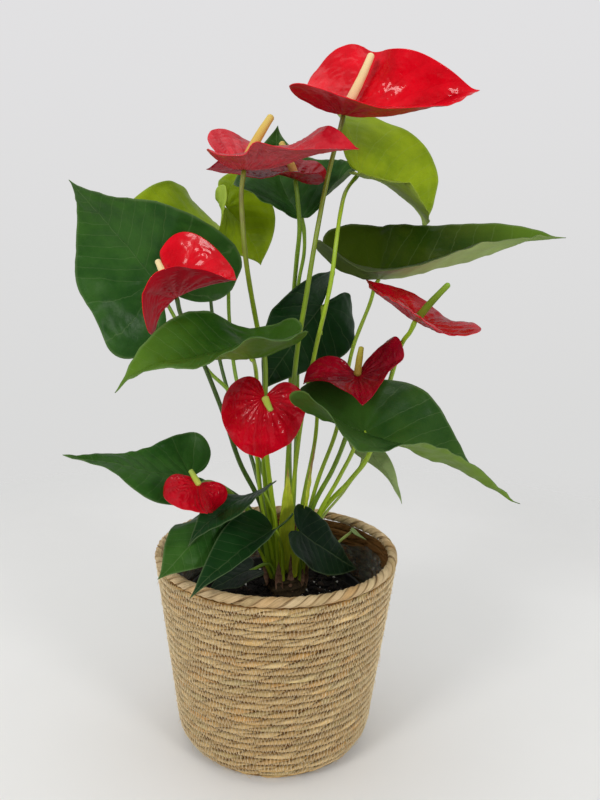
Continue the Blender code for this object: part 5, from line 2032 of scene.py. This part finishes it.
class LinerFilm:
    """The crumpled clear film between the basket and the pot. Metres."""

    around = 260
    rows = 60
    thickness = 0.00025
    crumple = 0.0042

    def __init__(self, palette: Palette) -> None:
        """Reads the film's height and radii off the frame.

        Args:
            palette: gives out the finishes.
        """
        self.palette = palette
        low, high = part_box("liner")
        self.low, self.high = low.z, high.z
        self.top_radius = (high.x - low.x) / 2
        radius, level = outline_of("liner")
        self.foot_radius = float(radius[level < low.z + 0.0002].max())

    def build(self) -> None:
        """Makes the film, open at the top, with a turned-in floor."""
        draw = np.random.default_rng(31)
        turn, rise = np.meshgrid(circle(self.around), np.linspace(0, 1, self.rows), indexing="ij")
        first, second = Ripple(draw, 0.16, 9), Ripple(draw, 0.07, 9)
        folds = np.abs(first.at(turn * 0.9, rise * 0.5 + 0.15 * np.sin(turn * 3)))
        folds = np.clip((folds + 0.5 * np.abs(second.at(turn * 0.9, rise))) / 1.6, 0, 1)
        folds *= ease(0.5 - 0.5 * np.cos(turn), 0.0, 0.002)
        radius = self.foot_radius + (self.top_radius - self.foot_radius) * rise
        inward = self.crumple * folds * ease(rise, 0.02, 0.3)
        edge = 0.004 * Ripple(draw, 0.5).round(turn) - 0.002
        height = self.low + (self.high - self.low) * rise + edge * ease(rise, 0.8, 1.0)
        shells = []
        for inset in (0.0, self.thickness):
            wall = polar(radius - inward - inset - 0.0002, turn, height)
            shells.append(np.vstack([wall.reshape(-1, 3), (0, 0, self.low + inset)]))
        count = len(shells[0])
        wall = grid_faces(self.around, self.rows, closed_rows=True)
        foot = np.arange(self.around) * self.rows
        after = np.roll(foot, -1)
        bottom = np.stack([after, foot, np.full(self.around, count - 1)], axis=1)
        lip, lip_after = foot + self.rows - 1, after + self.rows - 1
        brim = np.stack([lip, lip_after, lip_after + count, lip + count], axis=1)
        faces = [wall, bottom, wall[:, ::-1] + count, bottom[:, ::-1] + count, brim]
        sharp = np.append(ease(1 - folds, 0.8, 1.0), 0)
        draft = Draft()
        draft.add(np.vstack(shells), faces, crease=np.tile(sharp, 2))
        draft.piece("liner_film", FilmFinish(self.palette.effects).materials(), "clear_film", "liner")


@dataclass
class NurseryPot:
    """The black pot, with a rolled lip and a finer round than its solid. Metres."""

    palette: Palette
    sides: int = 160
    wall: float = 0.0012
    lip_depth: float = 0.008
    lip_step: float = 0.003
    lip_roll: float = 0.0012
    base_radius: float = 0.055
    axis: float = 0.0005

    def build(self) -> None:
        """Makes the pot."""
        low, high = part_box("nursery_pot")
        rim, roll = (high.x - low.x) / 2, self.lip_roll
        under_lip, neck, foot = high.z - self.lip_depth, rim - self.lip_step, self.base_radius
        turns = np.linspace(0, math.pi, 9)
        profile = [
            (self.axis, low.z + 0.0006),
            (foot - 0.004, low.z),
            (foot, low.z + 0.002),
            (neck, under_lip - 0.0004),
            (rim - 0.0004, under_lip),
            (rim, under_lip + 0.0006),
            *((rim - roll + roll * math.cos(turn), high.z - roll + roll * math.sin(turn)) for turn in turns),
            (rim - 2 * roll, under_lip),
            (neck - self.wall, under_lip - 0.003),
            (foot - self.wall, low.z + 0.003),
            (self.axis, low.z + 0.003),
        ]
        radius, height = np.array(profile).T[:, :, None]
        draft = Draft()
        draft.add_turned(polar(radius, circle(self.sides), height), (0, 0))
        plastic = PlasticFinish(self.palette.effects).materials()
        draft.piece("pot_with_lip", plastic, "black_plastic", "nursery_pot")


class PottingMix:
    """Dark peat, darkened further by painted shade, with crumbs, chips of bark and white perlite on it.
    Metres.
    """

    sides = 220
    rings = 90
    relief = 0.0016
    edge_drop = 0.004
    # For each kind of grain: how many, smallest and largest radius, flatness and unevenness.
    grains = (
        (1300, 0.0008, 0.0024, 0.8, 0.16), (110, 0.002, 0.0055, 0.35, 0.12), (120, 0.0006, 0.0017, 0.9, 0.1),
    )

    def __init__(self, palette: Palette) -> None:
        """Reads the mix's heights and radius off the frame.

        Args:
            palette: gives out the finishes.
        """
        self.palette = palette
        low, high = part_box("potting_mix")
        self.low, self.high = low.z + 0.0005, high.z - 0.0008
        self.radius = (high.x - low.x) / 2 - 0.0002
        self.draw = np.random.default_rng(53)

    def height_at(self, radius: Array) -> Array:
        """The mound's height above the floor at these radii."""
        return self.high - self.edge_drop * ease(radius, 0.4 * self.radius, self.radius)

    def add_surface(self, draft: Draft) -> None:
        """Adds the mound and the body of mix below it.

        Args:
            draft: where it goes.
        """
        radius = self.radius * np.linspace(0, 1, self.rings + 1)[1:]
        angle = circle(self.sides)
        reach, turn = np.meshgrid(radius, angle, indexing="ij")
        place = reach * np.cos(turn), reach * np.sin(turn)
        rough = sum(Ripple(self.draw, size, 12).at(*place) * size / 0.011 for size in (0.011, 0.006, 0.003))
        rough = self.relief * 0.6 * rough * (1 - ease(reach, 0.97 * self.radius, self.radius))
        top = polar(reach, turn, self.height_at(reach) + rough).reshape(-1, 3)
        foot = polar(0.78 * radius[-1], angle, self.low)
        points = np.vstack([(0, 0, self.high), top, foot, (0, 0, self.low)])
        last = 1 + (self.rings - 1) * self.sides
        bottom = last + self.sides
        step = np.arange(self.sides)
        after = np.roll(step, -1)
        faces = [
            cap_faces(1, self.sides, 0, False),
            grid_faces(self.rings, self.sides, closed_columns=True)[:, ::-1] + 1,
            np.stack([bottom + step, bottom + after, last + after, last + step], axis=1),
            cap_faces(bottom, self.sides, len(points) - 1, True),
        ]
        draft.add(points, faces)

    def add_grains(self, draft: Draft) -> None:
        """Scatters crumbs, chips and perlite on the mound.

        Args:
            draft: where it goes.
        """
        ball, faces = grain_ball()
        for slot, (count, small, large, flatness, crumple) in enumerate(self.grains):
            for _ in range(count):
                reach = self.radius * 0.97 * math.sqrt(self.draw.uniform(0, 1))
                turn = self.draw.uniform(0, TAU)
                size = self.draw.uniform(small, large)
                stretch = np.array([1, self.draw.uniform(0.5, 0.9), flatness * self.draw.uniform(0.7, 1.2)])
                shape = ball * (1 + crumple * self.draw.normal(size=(len(ball), 1))) * stretch * size
                spin, tip = self.draw.uniform(0, TAU), self.draw.normal(0, 0.35)
                turned = np.array(Matrix.Rotation(spin, 3, "Z") @ Matrix.Rotation(tip, 3, "X"))
                centre = polar(reach, turn, float(self.height_at(reach)) + size * flatness * 0.35)
                draft.add(shape @ turned.T + centre, [faces], slot)

    def build(self) -> None:
        """Makes the mix with everything on it."""
        draft = Draft()
        self.add_surface(draft)
        self.add_grains(draft)
        finishes = [
            # the peat is painted darker than peat: its own dark brown with painted shade of the deep pot on
            # top
            ("potting_mix", (0.0022, 0.0018, 0.0014), (0.012, 0.008, 0.006), 700, 2600, 0.92),
            ("bark_chips", (0.008, 0.005, 0.003), (0.045, 0.024, 0.013), 350, 1800, 0.88),
            ("perlite", (0.42, 0.41, 0.38), (0.8, 0.79, 0.75), 900, 3500, 0.8),
        ]
        made = [RoughFinish(name, self.palette.effects, *rest).materials()[0] for name, *rest in finishes]
        draft.piece("potting_mix_surface", made, "potting_mix", "potting_mix")


def grain_ball() -> tuple[Array, Array]:
    """The points and triangles of a small round grain.

    Returns:
        Points on a unit ball and three corner numbers a row.
    """
    golden = (1 + math.sqrt(5)) / 2
    signs = np.array([(-1, 1, 0), (1, 1, 0), (-1, -1, 0), (1, -1, 0)]) * (1, golden, 1)
    points = unit_rows(np.vstack([np.roll(signs, shift, axis=1) for shift in range(3)]))
    near = np.linalg.norm(points[:, None] - points, axis=2) < 1.1 * np.linalg.norm(points[0] - points[1])
    faces = []
    for a, b, c in combinations(range(len(points)), 3):
        if near[a, b] and near[b, c] and near[a, c]:
            outward = np.cross(points[b] - points[a], points[c] - points[a]) @ points[a] > 0
            faces.append((a, b, c) if outward else (a, c, b))
    return points, np.array(faces)


# --- the studio


@dataclass
class Studio:
    """A pale floor that fades into a pale backdrop, soft lights and the camera. Metres."""

    camera_place: Point = (0.0165, -0.625, 0.426)
    camera_down: float = 12.1
    camera_roll: float = 1.3
    focal_length: float = 36.0
    film_width: float = 36.0
    floor_half: float = 4.0
    fade_from: float = 0.55
    fade_to: float = 0.95
    lamp_aim: Point = (0.0, 0.0, 0.25)
    soft_fill: Colour = (0.72, 0.72, 0.72)
    dim_room: Colour = (0.05, 0.05, 0.055)
    bright_room: Colour = (0.4, 0.4, 0.4)
    ceiling: Colour = (0.45, 0.45, 0.45)

    def build_camera(self) -> None:
        """Sets the camera up."""
        camera = bpy.data.cameras.new("camera")
        camera.lens, camera.sensor_width, camera.clip_start = self.focal_length, self.film_width, 0.01
        holder = link_up("camera", camera)
        holder.location = self.camera_place
        holder.rotation_mode = "QUATERNION"
        pitch = Quaternion((1, 0, 0), math.radians(90 - self.camera_down))
        holder.rotation_quaternion = pitch @ Quaternion((0, 0, 1), math.radians(self.camera_roll))
        bpy.context.scene.camera = holder

    def build_floor(self) -> None:
        """Lays the floor, which fades out so that no edge shows."""
        mesh = bpy.data.meshes.new("floor")
        corners = np.array([(-1, -1, 0), (1, -1, 0), (1, 1, 0), (-1, 1, 0)]) * self.floor_half
        mesh.from_pydata(corners.tolist(), [], [(0, 1, 2, 3)])
        finish = Finish("pale_floor", Specular_IOR_Level=0.2, Roughness=0.75)
        place = finish.body_place()
        away = finish.node("VectorMath", operation="LENGTH")
        finish.feed(away.inputs[0], place)
        shown = finish.span(away.outputs["Value"], self.fade_from, self.fade_to, 1, 0)
        tone = finish.blend(finish.noise(place, 6.0, 4), (0.8, 0.8, 0.79), (0.84, 0.84, 0.835))
        finish.set(Base_Color=tone, Alpha=shown)
        mesh.materials.append(finish.material)
        link_up("floor", mesh)

    def build_world(self) -> None:
        """Fills the room with soft light from above and behind, and shows a plain pale backdrop."""
        world = bpy.data.worlds.new("pale_room")
        world.use_nodes = True
        bpy.context.scene.world = world
        board = Board(world.node_tree)
        parts = board.node("SeparateXYZ")
        board.feed(parts.inputs[0], board.node("TexCoord").outputs["Generated"])
        _, side, rise = parts.outputs
        backdrop = board.blend(board.span(rise, -0.35, 0.35), (0.7, 0.7, 0.695), (0.76, 0.755, 0.765))
        walls = board.blend(board.span(side, -0.7, 0.9), self.dim_room, self.bright_room)
        light = board.blend(board.span(rise, 0.15, 0.95), walls, self.ceiling)
        path = board.node("LightPath").outputs
        tone = board.blend(path["Is Glossy Ray"], self.soft_fill, light)
        back = world.node_tree.nodes["Background"]
        board.feed(back.inputs["Color"], board.blend(path["Is Camera Ray"], tone, backdrop))

    def add_lamp(self, name: str, place: Point, size: float, power: float, colour: Colour) -> None:
        """Adds a soft square lamp.

        Args:
            name: its name.
            place: where it stands.
            size: the length of its side.
            power: its power in watts.
            colour: its colour.
        """
        lamp = bpy.data.lights.new(name, "AREA")
        lamp.shape = "SQUARE"
        lamp.size, lamp.energy, lamp.color = size, power, colour
        holder = link_up(name, lamp)
        holder.location = place
        holder.rotation_mode = "QUATERNION"
        holder.rotation_quaternion = (Vector(self.lamp_aim) - Vector(place)).to_track_quat("-Z", "Y")

    def build(self) -> None:
        """Builds the camera, the floor, the room's light and the lamps."""
        self.build_camera()
        self.build_floor()
        self.build_world()
        self.add_lamp("overhead_lamp", (-0.1, 0.2, 1.5), 0.9, 2.2, (1.0, 0.995, 0.985))
        self.add_lamp("left_lamp", (-1.0, -1.3, 1.05), 0.45, 10.0, (1.0, 0.985, 0.96))
        self.add_lamp("right_lamp", (1.0, -1.3, 0.9), 0.4, 7.0, (1.0, 0.99, 0.98))
        bpy.context.scene.view_settings.view_transform = "Standard"


def main() -> None:
    """Builds the studio, the basket, what it holds and the plant, in that order."""
    logging.basicConfig(level=logging.INFO, format="%(message)s", stream=sys.stdout)
    Studio().build()
    palette = Palette()
    basket = CoiledBasket(palette)
    basket.build_weave()
    basket.build_thread()
    basket.build_loose_ends()
    for holder in (RimRope, LinerFilm, NurseryPot, PottingMix):
        holder(palette).build()
    ground = Ground()
    knot = CrownKnot(ground, palette)
    knot.build_knot()
    knot.build_sheaths()
    for seed, (name, row) in enumerate(FLOWER_ROWS.items(), 101):
        Flower(name, FlowerPlan.of(*row), ground, palette, seed).build()
    for seed, (name, row) in enumerate((LEAF_ROWS | SMALL_LEAF_ROWS).items(), 201):
        kind = Leaf if name in LEAF_ROWS else SmallLeaf
        kind(name, LeafPlan.of(*row), ground, palette, seed).build()
    Seedling("sprout", LeafPlan.of(*SPROUT_ROW), ground, palette, 301).build()


if __name__ == "__main__":
    main()
